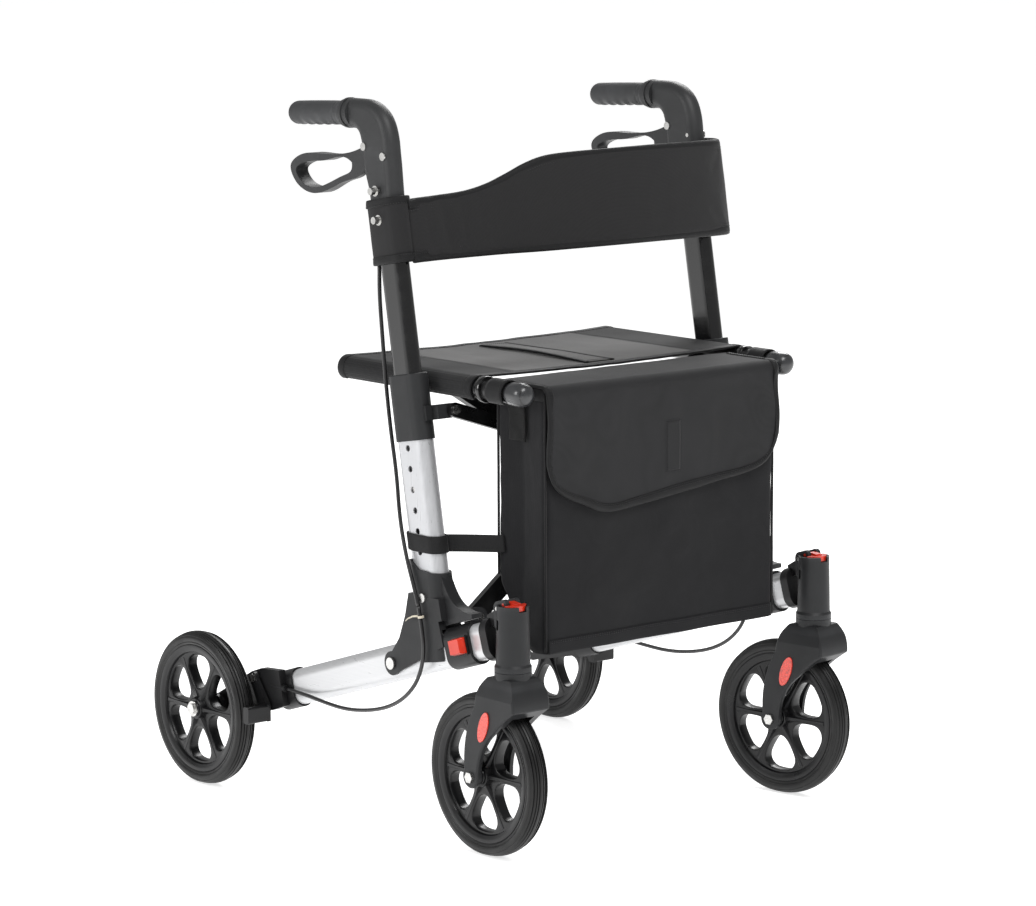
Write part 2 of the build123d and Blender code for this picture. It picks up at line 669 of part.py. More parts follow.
def handle(side, s):
    x = s * FRAME_X
    with BuildPart() as tube:
        with BuildSketch(upright_section(x, INNER_LOW)):
            SlotOverall(INNER_L, INNER_T)
            SlotOverall(INNER_L - 3.2, INNER_T - 3.2, mode=Mode.SUBTRACT)
        extrude(amount=along(INNER_LOW, INNER_TOP))
        bar_x(s, FRAME_X + 4, FRAME_X + 20, axis_y(BUTTON_Z), BUTTON_Z, 3.8, Mode.SUBTRACT)
        bar_x(s, FRAME_X - 20, FRAME_X + 20, axis_y(BOLT_ZS[0]), BOLT_ZS[0], 3, Mode.SUBTRACT)
    keep(tube, f"inner_tube_{side}")

    with BuildPart() as column:
        with BuildSketch(side_plane(x)):
            with BuildLine():
                Line((-4, 901), (-36, 901))
                Spline((-36, 901), (-62, 896), (-82, 880), (-92, 856), (-96.5, 826),
                       tangents=[(-1, 0), (-0.17, -1)])
                Polyline((-96.5, 826), (-100.5, 788), (-108, COLUMN_LOW), (-58, COLUMN_LOW))
                Polyline((-58, COLUMN_LOW), (-49, 790), (-40, 815), (-37, 842), (-32, 856))
                ThreePointArc((-32, 856), (-26, 862.4), (-18, 864.5))
                Polyline((-18, 864.5), (-4, 864.5), (-4, 901))
            make_face()
        extrude(amount=COLUMN_T / 2, both=True)
        fillet(column.edges().filter_by(lambda edge: abs(abs(edge.center().X) - FRAME_X) > 12), COLUMN_ROUND)
        with BuildSketch(grip_plane(-14)(x)):
            Circle(17.5)
        extrude(amount=14)
        with BuildSketch(grip_plane(-5)(x)):
            Circle(18.8)
        extrude(amount=4.5)
        with BuildSketch(grip_plane(-2)(x)):
            Circle(9)
        extrude(amount=102)
        with BuildSketch(upright_section(x, COLUMN_LOW - 10)):
            SlotOverall(INNER_L, INNER_T)
        extrude(amount=along(COLUMN_LOW - 10, INNER_TOP), mode=Mode.SUBTRACT)
        # slot for the brake lever
        with BuildSketch(side_plane(x)):
            Polygon((-72, 797), (-10, 797), (-10, 862), (-72, 862), align=None)
        extrude(amount=5.2, both=True, mode=Mode.SUBTRACT)
        for z in BOLT_ZS:
            bar_x(s, FRAME_X - 20, FRAME_X + 20, axis_y(z), z, 3, Mode.SUBTRACT)
        bar_x(s, FRAME_X - 20, FRAME_X + 20, LEVER_Y, LEVER_Z, 3, Mode.SUBTRACT)
        bar_x(s, FRAME_X - 20, FRAME_X + 20, SCREW_Y, SCREW_Z, 2.5, Mode.SUBTRACT)
    keep(column, f"handle_{side}")

    with BuildPart() as grip:
        with BuildSketch(grip_plane(0.5)(x)):
            Circle(17.5)
        extrude(amount=6)
        with BuildSketch(grip_plane(6)(x)):
            Circle(GRIP_R)
        extrude(amount=94)
        with BuildSketch(grip_plane(100)(x)):
            Circle(GRIP_R)
        extrude(amount=12, taper=12)
        with BuildSketch(grip_plane(0)(x)):
            Circle(9)
        extrude(amount=100, mode=Mode.SUBTRACT)
    keep(grip, f"grip_{side}")

    with BuildPart() as bolts:
        for z in BOLT_ZS:
            bar_x(s, FRAME_X - 18, FRAME_X + 18, axis_y(z), z, 3)
            bar_x(s, FRAME_X - 20.5, FRAME_X - 17.3, axis_y(z), z, 5.5)
            bar_x(s, FRAME_X + 17.3, FRAME_X + 18.3, axis_y(z), z, 6.5)
            bar_x(s, FRAME_X + 18.3, FRAME_X + 26, axis_y(z), z, 4.5)
        bar_x(s, FRAME_X - 13, FRAME_X + 13, LEVER_Y, LEVER_Z, 3)
        bar_x(s, FRAME_X - 14.5, FRAME_X - 13, LEVER_Y, LEVER_Z, 5)
        bar_x(s, FRAME_X + 13, FRAME_X + 14.5, LEVER_Y, LEVER_Z, 5)
        bar_x(s, FRAME_X - 13, FRAME_X + 13, SCREW_Y, SCREW_Z, 2.5)
        bar_x(s, FRAME_X + 13, FRAME_X + 14.5, SCREW_Y, SCREW_Z, 5)
    keep(bolts, f"handle_bolts_{side}")

    with BuildPart() as lever:
        with BuildSketch(side_plane(x)):
            with BuildLine():
                Spline((-46, 850), (-20, 838), (40, 830), (100, 821), (109, 812), (104, 798), (84, 784),
                       (62, 780), (34, 786), (0, 799), (-22, 805), (-44, 828))
                Line((-44, 828), (-46, 850))
            make_face()
            with Locations((LEVER_Y, LEVER_Z)):
                Circle(8)
            with BuildLine():
                Spline((-10, 822), (0, 827), (40, 822), (92, 813), (98, 808), (92, 797), (76, 789),
                       (60, 787.5), (34, 794), (4, 806), (-8, 812), (-10, 822))
            make_face(mode=Mode.SUBTRACT)
        extrude(amount=LEVER_WIDE, both=True)
        # seen from above the lever is narrow in the column's slot and widens to a band for the fingers
        with BuildSketch(Plane.XY.offset(LEVER_Z - 80)):
            with BuildLine():
                Polyline((x - LEVER_NARROW, -60), (x + LEVER_NARROW, -60), (x + LEVER_NARROW, -8),
                         (x + LEVER_WIDE, 50), (x + LEVER_WIDE, 115), (x - LEVER_WIDE, 115),
                         (x - LEVER_WIDE, 50), (x - LEVER_NARROW, -8), close=True)
            make_face()
        extrude(amount=100, mode=Mode.INTERSECT)
        bar_x(s, FRAME_X - 10, FRAME_X + 10, LEVER_Y, LEVER_Z, 3 + RUN, Mode.SUBTRACT)
    keep(lever, f"brake_lever_{side}")

    with BuildPart() as snap:
        bar_x(s, FRAME_X + 4, FRAME_X + 11.3, axis_y(BUTTON_Z), BUTTON_Z, 3.6)
        bar_x(s, FRAME_X + 3, FRAME_X + 8.5, axis_y(BUTTON_Z), BUTTON_Z, 5.5)
    keep(snap, f"snap_button_{side}")


# ---- X brace, seat tubes and links -------------------------------------------------------------------
KNOB_START, KNOB_END = -270.0, -300.0
RING_Y = -216.0


def cross_arm(side, s):
    """Brace arm welded to the seat tube of its own side. Its lower end pivots on the other side's housing."""
    low = (-s * SEAT_X, 0)
    high = (s * SEAT_X, ARM_RISE)
    near_face = ARM_CLEAR * -s
    with BuildPart() as arm:
        with BuildSketch(brace_plane(near_face)):
            with BuildLine():
                Line(low, high)
            trace(line_width=ARM_W)
            with Locations(low):
                Circle(ARM_W / 2)
            with Locations(high):
                Circle(SEAT_TUBE_R - 2)
        extrude(amount=-s * ARM_T)
        with BuildSketch(front_plane(s * SEAT_X, SEAT_REAR)):
            Circle(SEAT_TUBE_R)
        extrude(amount=SEAT_REAR - KNOB_START)
        with BuildSketch(front_plane(s * SEAT_X, SEAT_REAR - 6)):
            Circle(SEAT_TUBE_R - 1.6)
        extrude(amount=SEAT_REAR - KNOB_START - 12, mode=Mode.SUBTRACT)
        with BuildSketch(front_plane(s * SEAT_X, RING_Y)):
            Circle(15.5)
            Circle(SEAT_TUBE_R - 0.5, mode=Mode.SUBTRACT)
        extrude(amount=8)
        with BuildSketch(front_plane(s * SEAT_X, KNOB_START)):
            Circle(13.5)
        extrude(amount=KNOB_START - KNOB_END)
        fillet(arm.edges().group_by(Axis.Y)[0], 9)
        with BuildSketch(brace_plane(-30)):
            with Locations(low):
                Circle(PIN_R + RUN)
        extrude(amount=60, mode=Mode.SUBTRACT)
        if side == "left":
            with BuildSketch(brace_plane(-6)):
                with Locations((0, ARM_RISE / 2)):
                    Circle(PIN_R)
            extrude(amount=20)
        else:
            with BuildSketch(brace_plane(-6)):
                with Locations((0, ARM_RISE / 2)):
                    Circle(PIN_R + RUN)
            extrude(amount=30, mode=Mode.SUBTRACT)
    keep(arm, f"cross_arm_{side}")


def guide_link(side, s):
    """Flat bar from the collar's lug down to the arm of its own side."""
    drop = math.radians(LINK_DROP)
    start = (s * LINK_X, LINK_RISE)
    end = (s * (LINK_X - LINK_REACH * math.cos(drop)), LINK_RISE - LINK_REACH * math.sin(drop))
    with BuildPart() as link:
        with BuildSketch(brace_plane(-s * 12)):
            with BuildLine():
                Line(start, end)
            trace(line_width=18)
            with Locations(start, end):
                Circle(9)
            with Locations(start):
                Circle(3 + RUN, mode=Mode.SUBTRACT)
        extrude(amount=-s * 6)
    keep(link, f"guide_link_{side}")


# ---- soft goods --------------------------------------------------------------------------------------
SEAT_LOW, SEAT_HIGH = 572.8, 576.0
SLEEVE_LOW, SLEEVE_TOP = 706.0, 778.0
BAND_TOP = 824.0
BAND_T = 6.0


def seat_panel(side, s):
    with BuildPart() as panel:
        with BuildSketch(Plane(origin=(0, SEAT_REAR - 3, 0), x_dir=(1, 0, 0), z_dir=(0, -1, 0))):
            with Locations((s * SEAT_X, SEAT_Z)):
                Circle(15.5)
            Polygon((s * 0.5, SEAT_LOW), (s * SEAT_X, SEAT_LOW), (s * SEAT_X, SEAT_HIGH),
                    (s * 0.5, SEAT_HIGH), align=None)
            with Locations((s * SEAT_X, SEAT_Z)):
                Circle(SEAT_TUBE_R + 0.2, mode=Mode.SUBTRACT)
        extrude(amount=SEAT_REAR - 3 - SEAT_FRONT)
        # the underside of the sleeve stops where the arm and the ring meet the tube
        with BuildSketch(Plane.XY.offset(SEAT_Z - 20)):
            with Locations((s * SEAT_X, -150)):
                Rectangle(50, 40)
        extrude(amount=33, mode=Mode.SUBTRACT)
    keep(panel, f"seat_panel_{side}")


def backrest():
    """Band of padded cloth with a sleeve round each column."""
    with BuildPart() as band:
        foot = Plane(origin=(0, axis_y(SLEEVE_LOW), SLEEVE_LOW), x_dir=(1, 0, 0), z_dir=UP)
        with BuildSketch(foot):
            with BuildLine():
                Spline((-FRAME_X, -28.5), (-180, -26.5), (-110, -34), (-40, -50), (60, -58), (150, -56),
                       (240, -44), (274, -32), (275, -18), (265, -4))
            trace(line_width=BAND_T)
        extrude(amount=along(SLEEVE_LOW, BAND_TOP))
        with BuildSketch(Plane(origin=(0, 0, 0), x_dir=(1, 0, 0), z_dir=(0, -1, 0))):
            with BuildLine():
                Line((-290, 780), (-150, 784))
                Spline((-150, 784), (-100, 796), (-70, 812), (-25, 823), tangents=[(1, 0.03), (1, 0.05)])
                Polyline((-25, 823), (-25, 850), (-290, 850), (-290, 780))
            make_face()
        extrude(amount=200, mode=Mode.SUBTRACT)
        for s in SIDES.values():
            with BuildSketch(upright_section(s * FRAME_X, SLEEVE_LOW)):
                SlotOverall(60, 34)
            extrude(amount=along(SLEEVE_LOW, SLEEVE_TOP))
        for s in SIDES.values():
            with BuildSketch(upright_section(s * FRAME_X, SLEEVE_LOW - 10)):
                SlotOverall(56, 30)
            extrude(amount=160, mode=Mode.SUBTRACT)
            for z in BOLT_ZS:
                bar_x(s, FRAME_X - 30, FRAME_X + 30, axis_y(z), z, 6.8, Mode.SUBTRACT)
    keep(band, "backrest")


STRAP_LOW, STRAP_H = 358.0, 21.0
LOOP_REAR, LOOP_FRONT = -236.0, -266.0
FLAP_X, FLAP_BOTTOM = 189.0, 415.0
FLAP_TOP = 568.5
FLAP_T = 3.0
FLAP_HINGE_Y = -210.0


def bag():
    """Open-topped bag, its loops on the seat tubes, and its straps, which end against the outer tubes."""
    with BuildPart() as shell:
        with BuildSketch(side_plane(0)):
            Polygon((BAG_FRONT, BAG_BOTTOM), (-268, BAG_BOTTOM + 4), (-238, 285), (BAG_BACK, 330),
                    (BAG_BACK, BAG_TOP), (BAG_FRONT, BAG_TOP), align=None)
        extrude(amount=BAG_X, both=True)
        for s in SIDES.values():
            with BuildSketch(front_plane(s * SEAT_X, LOOP_REAR)):
                Circle(16)
                with Locations((-s * 19, -10)):
                    Rectangle(16, 4)
                Circle(SEAT_TUBE_R + 0.4, mode=Mode.SUBTRACT)
            extrude(amount=LOOP_REAR - LOOP_FRONT)
            with BuildSketch(level_plane(0, 0, STRAP_LOW)):
                with BuildLine():
                    Line((s * 235, -174.4), (s * (BAG_X - 2), -214))
                trace(line_width=3)
            extrude(amount=STRAP_H)
        for s in SIDES.values():
            with BuildSketch(upright_section(s * FRAME_X, STRAP_LOW - 20)):
                SlotOverall(OUTER_L + 1, OUTER_T + 1)
            extrude(amount=STRAP_H + 40, mode=Mode.SUBTRACT)
        with BuildSketch(side_plane(0)):
            Polygon((BAG_FRONT + CLOTH, BAG_BOTTOM + CLOTH), (-269, BAG_BOTTOM + 7), (-240.5, 287),
                    (BAG_BACK - CLOTH, 331),
                    (BAG_BACK - CLOTH, BAG_TOP + 5), (BAG_FRONT + CLOTH, BAG_TOP + 5), align=None)
        extrude(amount=BAG_X - CLOTH, both=True, mode=Mode.SUBTRACT)
    keep(shell, "bag")

    with BuildPart() as flap:
        with BuildSketch(Plane.XY.offset(FLAP_TOP - FLAP_T)):
            Polygon((-FLAP_X, FLAP_HINGE_Y), (FLAP_X, FLAP_HINGE_Y), (FLAP_X, BAG_FRONT - 4.5),
                    (-FLAP_X, BAG_FRONT - 4.5),
                    align=None)
        extrude(amount=FLAP_T)
        with BuildSketch(Plane(origin=(0, BAG_FRONT - 1.5, 0), x_dir=(1, 0, 0), z_dir=(0, -1, 0))) as front:
            Polygon((-FLAP_X, FLAP_TOP), (FLAP_X, FLAP_TOP), (FLAP_X, FLAP_BOTTOM), (-FLAP_X, FLAP_BOTTOM),
                    align=None)
            fillet(front.vertices().group_by(Axis.Z)[0], 60)
        extrude(amount=FLAP_T)
    keep(flap, "bag_flap")


def cable_points(s):
    """Route of one brake cable's outer, from the sleeve's lower edge to the barrel on the rear bracket."""
    return [
        (s * 251, axis_y(738) + 24, 738),
        (s * 252, axis_y(706) + 24, 706),
        (s * 256, axis_y(668) + 27, 668),
        (s * 257, axis_y(612) + 30, 612),
        (s * 257, axis_y(556) + 34, 556),
        (s * 258, axis_y(500) + 34, 500),
        (s * 259, axis_y(446) + 31, 446),
        (s * 263, axis_y(396) + 30, 396),
        (s * 267.5, axis_y(350) + 20, 350),
        (s * 269, axis_y(310) + 8, 310),
        (s * 269, -163, 272),
        (s * 269, -168, 236),
        (s * 269.5, -158, 203),
        (s * 270, -134, 177),
        (s * 270, -100, 158),
        (s * 270, -58, 146),
        (s * 270, -10, 139.5),
        (s * 269, 36, 140.5),
        (s * 267, 80, 143.3),
        (s * CABLE_END_X, CABLE_END_Y, CABLE_END_Z),
    ]


def brake_cables():
    with BuildPart() as cables:
        for side, s in SIDES.items():
            points = [Vector(*point) for point in cable_points(s)]
            radii = []
            for before, here, after in zip(points, points[1:], points[2:]):
                half_turn = math.radians((here - before).get_angle(after - here)) / 2
                shorter = min((here - before).length, (after - here).length)
                radii.append(0.45 * shorter / math.tan(half_turn))
            with BuildLine() as route:
                FilletPolyline(*points, radius=radii)
            length = route.wires()[0].length
            with BuildSketch(Plane(origin=points[0], z_dir=points[1] - points[0])):
                Circle(CABLE_R)
            sweep()
            print(f"brake cable {side}: {length:.1f} long, smallest radius {min(radii):.1f}, radii",
                  [round(radius) for radius in radii])
            print("  section times length", round(length * math.pi * CABLE_R ** 2))
        print("  volume of both", round(cables.part.volume))
    keep(cables, "brake_cables")


# ---- the whole walker --------------------------------------------------------------------------------
for side, s in SIDES.items():
    lower_tube(side, s)
    end_brackets(side, s)
    latch_sleeve(side, s)
    hinge_button(side, s)
    base_pins(side, s)
    brake_arm(side, s)
    wheel(Plane(origin=(s * REAR_X, REAR_Y, WHEEL_R), x_dir=(0, 0, 1), z_dir=(1, 0, 0)), f"rear_{side}")
    head_housing(side, s)
    head_lever(side, s)
    caster(side, s, LEFT_SWIVEL if side == "left" else 0)
    hinge_housing(side, s)
    upright_tubes(side, s)
    upright_pins(side, s)
    handle(side, s)
    cross_arm(side, s)
    guide_link(side, s)
    seat_panel(side, s)
backrest()
bag()
brake_cables()
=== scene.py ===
import json
import math

import bmesh
import bpy
from mathutils import Matrix, Vector, noise


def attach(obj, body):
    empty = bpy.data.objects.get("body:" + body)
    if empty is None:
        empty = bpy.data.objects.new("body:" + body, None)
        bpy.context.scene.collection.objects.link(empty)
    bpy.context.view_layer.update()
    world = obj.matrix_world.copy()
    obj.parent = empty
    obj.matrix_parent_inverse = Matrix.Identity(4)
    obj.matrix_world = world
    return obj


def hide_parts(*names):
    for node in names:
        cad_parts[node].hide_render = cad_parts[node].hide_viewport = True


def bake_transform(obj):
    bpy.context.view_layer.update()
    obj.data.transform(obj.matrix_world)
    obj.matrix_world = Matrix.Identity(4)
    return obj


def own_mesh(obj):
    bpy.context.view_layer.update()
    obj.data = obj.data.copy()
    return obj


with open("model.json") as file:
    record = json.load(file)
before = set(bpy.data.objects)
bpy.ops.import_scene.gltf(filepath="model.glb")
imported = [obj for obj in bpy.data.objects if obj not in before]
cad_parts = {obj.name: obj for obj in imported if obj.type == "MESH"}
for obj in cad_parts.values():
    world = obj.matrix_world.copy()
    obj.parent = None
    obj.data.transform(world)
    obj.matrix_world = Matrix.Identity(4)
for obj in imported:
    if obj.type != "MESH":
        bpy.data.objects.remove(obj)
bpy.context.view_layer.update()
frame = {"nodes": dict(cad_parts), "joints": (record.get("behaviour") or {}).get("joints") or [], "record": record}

# Rollator walker. Metres; +Z up, -Y forwards, +X the user's left, origin on the floor.
SIDES = {"right": -1, "left": 1}
MM = 0.001
TILT = math.radians(10)  # the uprights' lean
LEAN = math.tan(TILT)
FRAME_X = 247.0
NODES = frame["nodes"]
JOINTS = {joint["name"]: joint for joint in frame["joints"]}


# ---- camera, light and floor -------------------------------------------------------------------------
def build_stage():
    camera_data = bpy.data.cameras.new("camera")
    camera_data.sensor_width = 36.0
    camera_data.lens = 137.88
    camera_data.clip_end = 100.0
    camera = bpy.data.objects.new("camera", camera_data)
    bpy.context.scene.collection.objects.link(camera)
    azimuth, elevation, roll = map(math.radians, (-39.51, 8.98, -0.3))
    forward = Vector((-math.sin(azimuth) * math.cos(elevation), math.cos(azimuth) * math.cos(elevation),
                      -math.sin(elevation)))
    turn = forward.to_track_quat("-Z", "Y").to_matrix() @ Matrix.Rotation(roll, 3, "Z")
    camera.matrix_world = Matrix.Translation((-3.1854, -3.8856, 1.2282)) @ turn.to_4x4()
    bpy.context.scene.camera = camera
    bpy.context.scene.view_settings.view_transform = "Standard"

    world = bpy.data.worlds.new("studio")
    world.use_nodes = True
    tree = world.node_tree
    fill = tree.nodes["Background"]
    fill.inputs["Color"].default_value = (1, 1, 1, 1)
    fill.inputs["Strength"].default_value = 0.36
    backdrop = tree.nodes.new("ShaderNodeBackground")
    backdrop.inputs["Color"].default_value = (1, 1, 1, 1)
    backdrop.inputs["Strength"].default_value = 1.0
    seen = tree.nodes.new("ShaderNodeLightPath")
    mix = tree.nodes.new("ShaderNodeMixShader")
    tree.links.new(seen.outputs["Is Camera Ray"], mix.inputs[0])
    tree.links.new(fill.outputs["Background"], mix.inputs[1])
    tree.links.new(backdrop.outputs["Background"], mix.inputs[2])
    tree.links.new(mix.outputs["Shader"], tree.nodes["World Output"].inputs["Surface"])
    bpy.context.scene.world = world

    for name, place, size, power in (
            ("key_light", (-0.6, -2.4, 3.6), 1.8, 95),
            ("side_light", (-3.2, 0.6, 1.7), 1.3, 42),
            ("back_light", (2.4, 1.6, 2.8), 1.8, 80)):
        light_data = bpy.data.lights.new(name, "AREA")
        light_data.size = size
        light_data.energy = power
        light = bpy.data.objects.new(name, light_data)
        light.location = place
        aim = Vector((0, 0, 0.45)) - Vector(place)
        light.rotation_euler = aim.to_track_quat("-Z", "Y").to_euler()
        bpy.context.scene.collection.objects.link(light)

    floor_mesh = bpy.data.meshes.new("studio_floor")
    reach = 40.0
    floor_mesh.from_pydata([(-reach, -reach, 0), (reach, -reach, 0), (reach, reach, 0), (-reach, reach, 0)],
                           [], [(0, 1, 2, 3)])
    floor = bpy.data.objects.new("studio_floor", floor_mesh)
    bpy.context.scene.collection.objects.link(floor)
    paint = bpy.data.materials.new("floor_paint")
    paint.use_nodes = True
    shader = paint.node_tree.nodes["Principled BSDF"]
    shader.inputs["Base Color"].default_value = (0.9, 0.9, 0.9, 1)
    shader.inputs["Emission Color"].default_value = (1, 1, 1, 1)
    shader.inputs["Emission Strength"].default_value = 0.68
    shader.inputs["Roughness"].default_value = 0.9
    shader.inputs["Specular IOR Level"].default_value = 0.1
    floor_mesh.materials.append(paint)


build_stage()


# ---- materials ---------------------------------------------------------------------------------------
class Paint:
    """A procedural material under construction: small helpers that add linked nodes."""

    def __init__(self, name, roughness=0.5, metallic=0.0, specular=0.5, coat=0.0, coat_roughness=0.1,
                 sheen=0.0):
        self.material = bpy.data.materials.new(name)
        self.material.use_nodes = True
        self.tree = self.material.node_tree
        self.shader = self.tree.nodes["Principled BSDF"]
        values = {"Roughness": roughness, "Metallic": metallic, "Specular IOR Level": specular,
                  "Coat Weight": coat, "Coat Roughness": coat_roughness, "Sheen Weight": sheen}
        for socket, value in values.items():
            self.shader.inputs[socket].default_value = value
        self.place = self.node("ShaderNodeTexCoord").outputs["Object"]
        self.height = None

    def node(self, kind, **settings):
        made = self.tree.nodes.new(kind)
        for key, value in settings.items():
            setattr(made, key, value)
        return made

    def link(self, output, socket):
        self.tree.links.new(output, socket)

    def moved(self, scale=(1, 1, 1)):
        mapping = self.node("ShaderNodeMapping")
        mapping.inputs["Scale"].default_value = scale
        self.link(self.place, mapping.inputs["Vector"])
        return mapping.outputs["Vector"]

    def noise(self, scale, detail=3.0, rough=0.5, stretch=(1, 1, 1)):
        texture = self.node("ShaderNodeTexNoise")
        texture.inputs["Scale"].default_value = scale
        texture.inputs["Detail"].default_value = detail
        texture.inputs["Roughness"].default_value = rough
        self.link(self.moved(stretch), texture.inputs["Vector"])
        return texture.outputs["Fac"]

    def weave(self, pitch, along):
        """Parallel threads, this far apart in metres."""
        texture = self.node("ShaderNodeTexWave", wave_type="BANDS", bands_direction=along)
        texture.inputs["Scale"].default_value = 0.314 / pitch
        texture.inputs["Distortion"].default_value = 0.35
        texture.inputs["Detail"].default_value = 1.0
        texture.inputs["Detail Scale"].default_value = 2.0
        self.link(self.moved(), texture.inputs["Vector"])
        return texture.outputs["Fac"]

    def maths(self, operation, first, second):
        made = self.node("ShaderNodeMath", operation=operation)
        for socket, value in zip(made.inputs, (first, second)):
            if isinstance(value, (int, float)):
                socket.default_value = value
            else:
                self.link(value, socket)
        return made.outputs["Value"]

    def span(self, value, low, high, into_low=0.0, into_high=1.0):
        made = self.node("ShaderNodeMapRange")
        self.link(value, made.inputs["Value"])
        for key, number in (("From Min", low), ("From Max", high),
                            ("To Min", into_low), ("To Max", into_high)):
            made.inputs[key].default_value = number
        return made.outputs["Result"]

    def colours(self, value, *stops):
        ramp = self.node("ShaderNodeValToRGB")
        elements = ramp.color_ramp.elements
        while len(elements) < len(stops):
            elements.new(0.5)
        for element, (position, colour) in zip(elements, stops):
            element.position = position
            element.color = (*colour, 1)
        self.link(value, ramp.inputs["Fac"])
        self.link(ramp.outputs["Color"], self.shader.inputs["Base Color"])
        return ramp.outputs["Color"]

    def rough(self, value, low, high):
        self.link(self.span(value, 0.3, 0.7, low, high), self.shader.inputs["Roughness"])

    def bump(self, value, depth, strength=1.0):
        made = self.node("ShaderNodeBump")
        made.inputs["Distance"].default_value = depth
        made.inputs["Strength"].default_value = strength
        self.link(value, made.inputs["Height"])
        if self.height is not None:
            self.link(self.height, made.inputs["Normal"])
        self.height = made.outputs["Normal"]
        self.link(self.height, self.shader.inputs["Normal"])


def shades(colour, spread):
    """The colour, darkened and lightened by the spread."""
    return tuple(tuple(channel * share for channel in colour) for share in (1 - spread, 1 + spread))


def moulded(name, colour, roughness, grain=0.0009, depth=0.00006, specular=0.4):
    """Moulded plastic with a fine spark-eroded grain and rubbed edges."""
    paint = Paint(name, roughness, specular=specular)
    cloud = paint.noise(9, 4, 0.6)
    dark, light = shades(colour, 0.16)
    worn = paint.node("ShaderNodeNewGeometry").outputs["Pointiness"]
    edge = paint.span(worn, 0.52, 0.62, 0, 0.35)
    rubbed = tuple(1.7 * channel for channel in light)
    paint.colours(paint.maths("ADD", cloud, edge), (0.3, dark), (0.7, light), (1.0, rubbed))
    paint.rough(paint.noise(35, 3), roughness - 0.06, roughness + 0.07)
    paint.bump(paint.noise(1 / grain, 2), depth, 0.8)
    return paint.material


def anodised(name, colour, turn):
    """Drawn and anodised aluminium: fine lines along the tube and a soft satin."""
    paint = Paint(name, 0.33, metallic=0.55, specular=0.5)
    lines = paint.noise(60, 3, 0.6, stretch=turn)
    dark, light = shades(colour, 0.05)
    drawn = paint.maths("MULTIPLY", lines, 0.6)
    cloudy = paint.maths("MULTIPLY", paint.noise(5), 0.4)
    paint.colours(paint.maths("ADD", drawn, cloudy), (0.35, dark), (0.65, light))
    paint.rough(lines, 0.27, 0.42)
    paint.bump(lines, 0.00002, 0.5)
    return paint.material


def enamel(name, colour, roughness, coat):
    """Black enamel over metal, with faint orange peel and dust."""
    paint = Paint(name, roughness, specular=0.5, coat=coat, coat_roughness=0.08)
    dark, light = shades(colour, 0.25)
    paint.colours(paint.noise(14, 4), (0.35, dark), (0.7, light))
    paint.rough(paint.noise(60, 4), roughness - 0.05, roughness + 0.08)
    paint.bump(paint.noise(420, 2), 0.00002, 0.4)
    return paint.material


def metal(name, colour, roughness):
    """Zinc-plated steel, a little mottled."""
    paint = Paint(name, roughness, metallic=1.0)
    dark, light = shades(colour, 0.18)
    mottle = paint.noise(160, 5, 0.6)
    paint.colours(mottle, (0.3, dark), (0.7, light))
    paint.rough(mottle, roughness - 0.08, roughness + 0.12)
    paint.bump(paint.noise(700, 2), 0.00003, 0.4)
    return paint.material


def rubber(name, colour, roughness, grain=0.0006):
    """Rubber with a matt bloom."""
    paint = Paint(name, roughness, specular=0.35)
    dark, light = shades(colour, 0.22)
    paint.colours(paint.noise(24, 5, 0.65), (0.3, dark), (0.75, light))
    paint.rough(paint.noise(50, 4), roughness - 0.08, roughness + 0.1)
    paint.bump(paint.noise(1 / grain, 3), 0.00008, 0.6)
    return paint.material


def gloss(name, colour, roughness, coat=0.3):
    """Smooth coloured plastic."""
    paint = Paint(name, roughness, specular=0.5, coat=coat, coat_roughness=0.15)
    dark, light = shades(colour, 0.1)
    paint.colours(paint.noise(70, 4), (0.3, dark), (0.7, light))
    paint.rough(paint.noise(90, 3), roughness - 0.05, roughness + 0.08)
    paint.bump(paint.noise(300, 2), 0.00002, 0.4)
    return paint.material


def reflector(name, colour):
    """Red prismatic reflector: a fine lattice under a clear face."""
    paint = Paint(name, 0.25, specular=0.6, coat=0.7, coat_roughness=0.05)
    cells = paint.node("ShaderNodeTexVoronoi", feature="F1", distance="CHEBYCHEV")
    cells.inputs["Scale"].default_value = 420
    paint.link(paint.moved(), cells.inputs["Vector"])
    dark, light = shades(colour, 0.35)
    paint.colours(cells.outputs["Distance"], (0.1, light), (0.8, dark))
    paint.bump(cells.outputs["Distance"], 0.0003, 0.6)
    return paint.material


def woven(name, colour, pitch, roughness=0.8, sheen=0.25, spread=0.2, depth=0.00012):
    """Plain-woven nylon: two sets of threads, broad crumples and a soft bloom."""
    paint = Paint(name, roughness, specular=0.25, sheen=sheen)
    warp, weft, third = (paint.weave(pitch, along) for along in "XZY")
    threads = paint.maths("MULTIPLY", paint.maths("ADD", paint.maths("ADD", warp, weft), third), 0.33)
    cloud = paint.noise(7, 5, 0.55)
    tone = paint.maths("ADD", paint.maths("MULTIPLY", cloud, 0.72), paint.maths("MULTIPLY", threads, 0.28))
    dark, light = shades(colour, spread)
    paint.colours(tone, (0.32, dark), (0.68, light))
    paint.rough(cloud, roughness - 0.08, roughness + 0.06)
    paint.bump(paint.noise(26, 3, 0.5), 0.0016, 0.35)
    paint.bump(threads, depth, 0.9)
    return paint.material


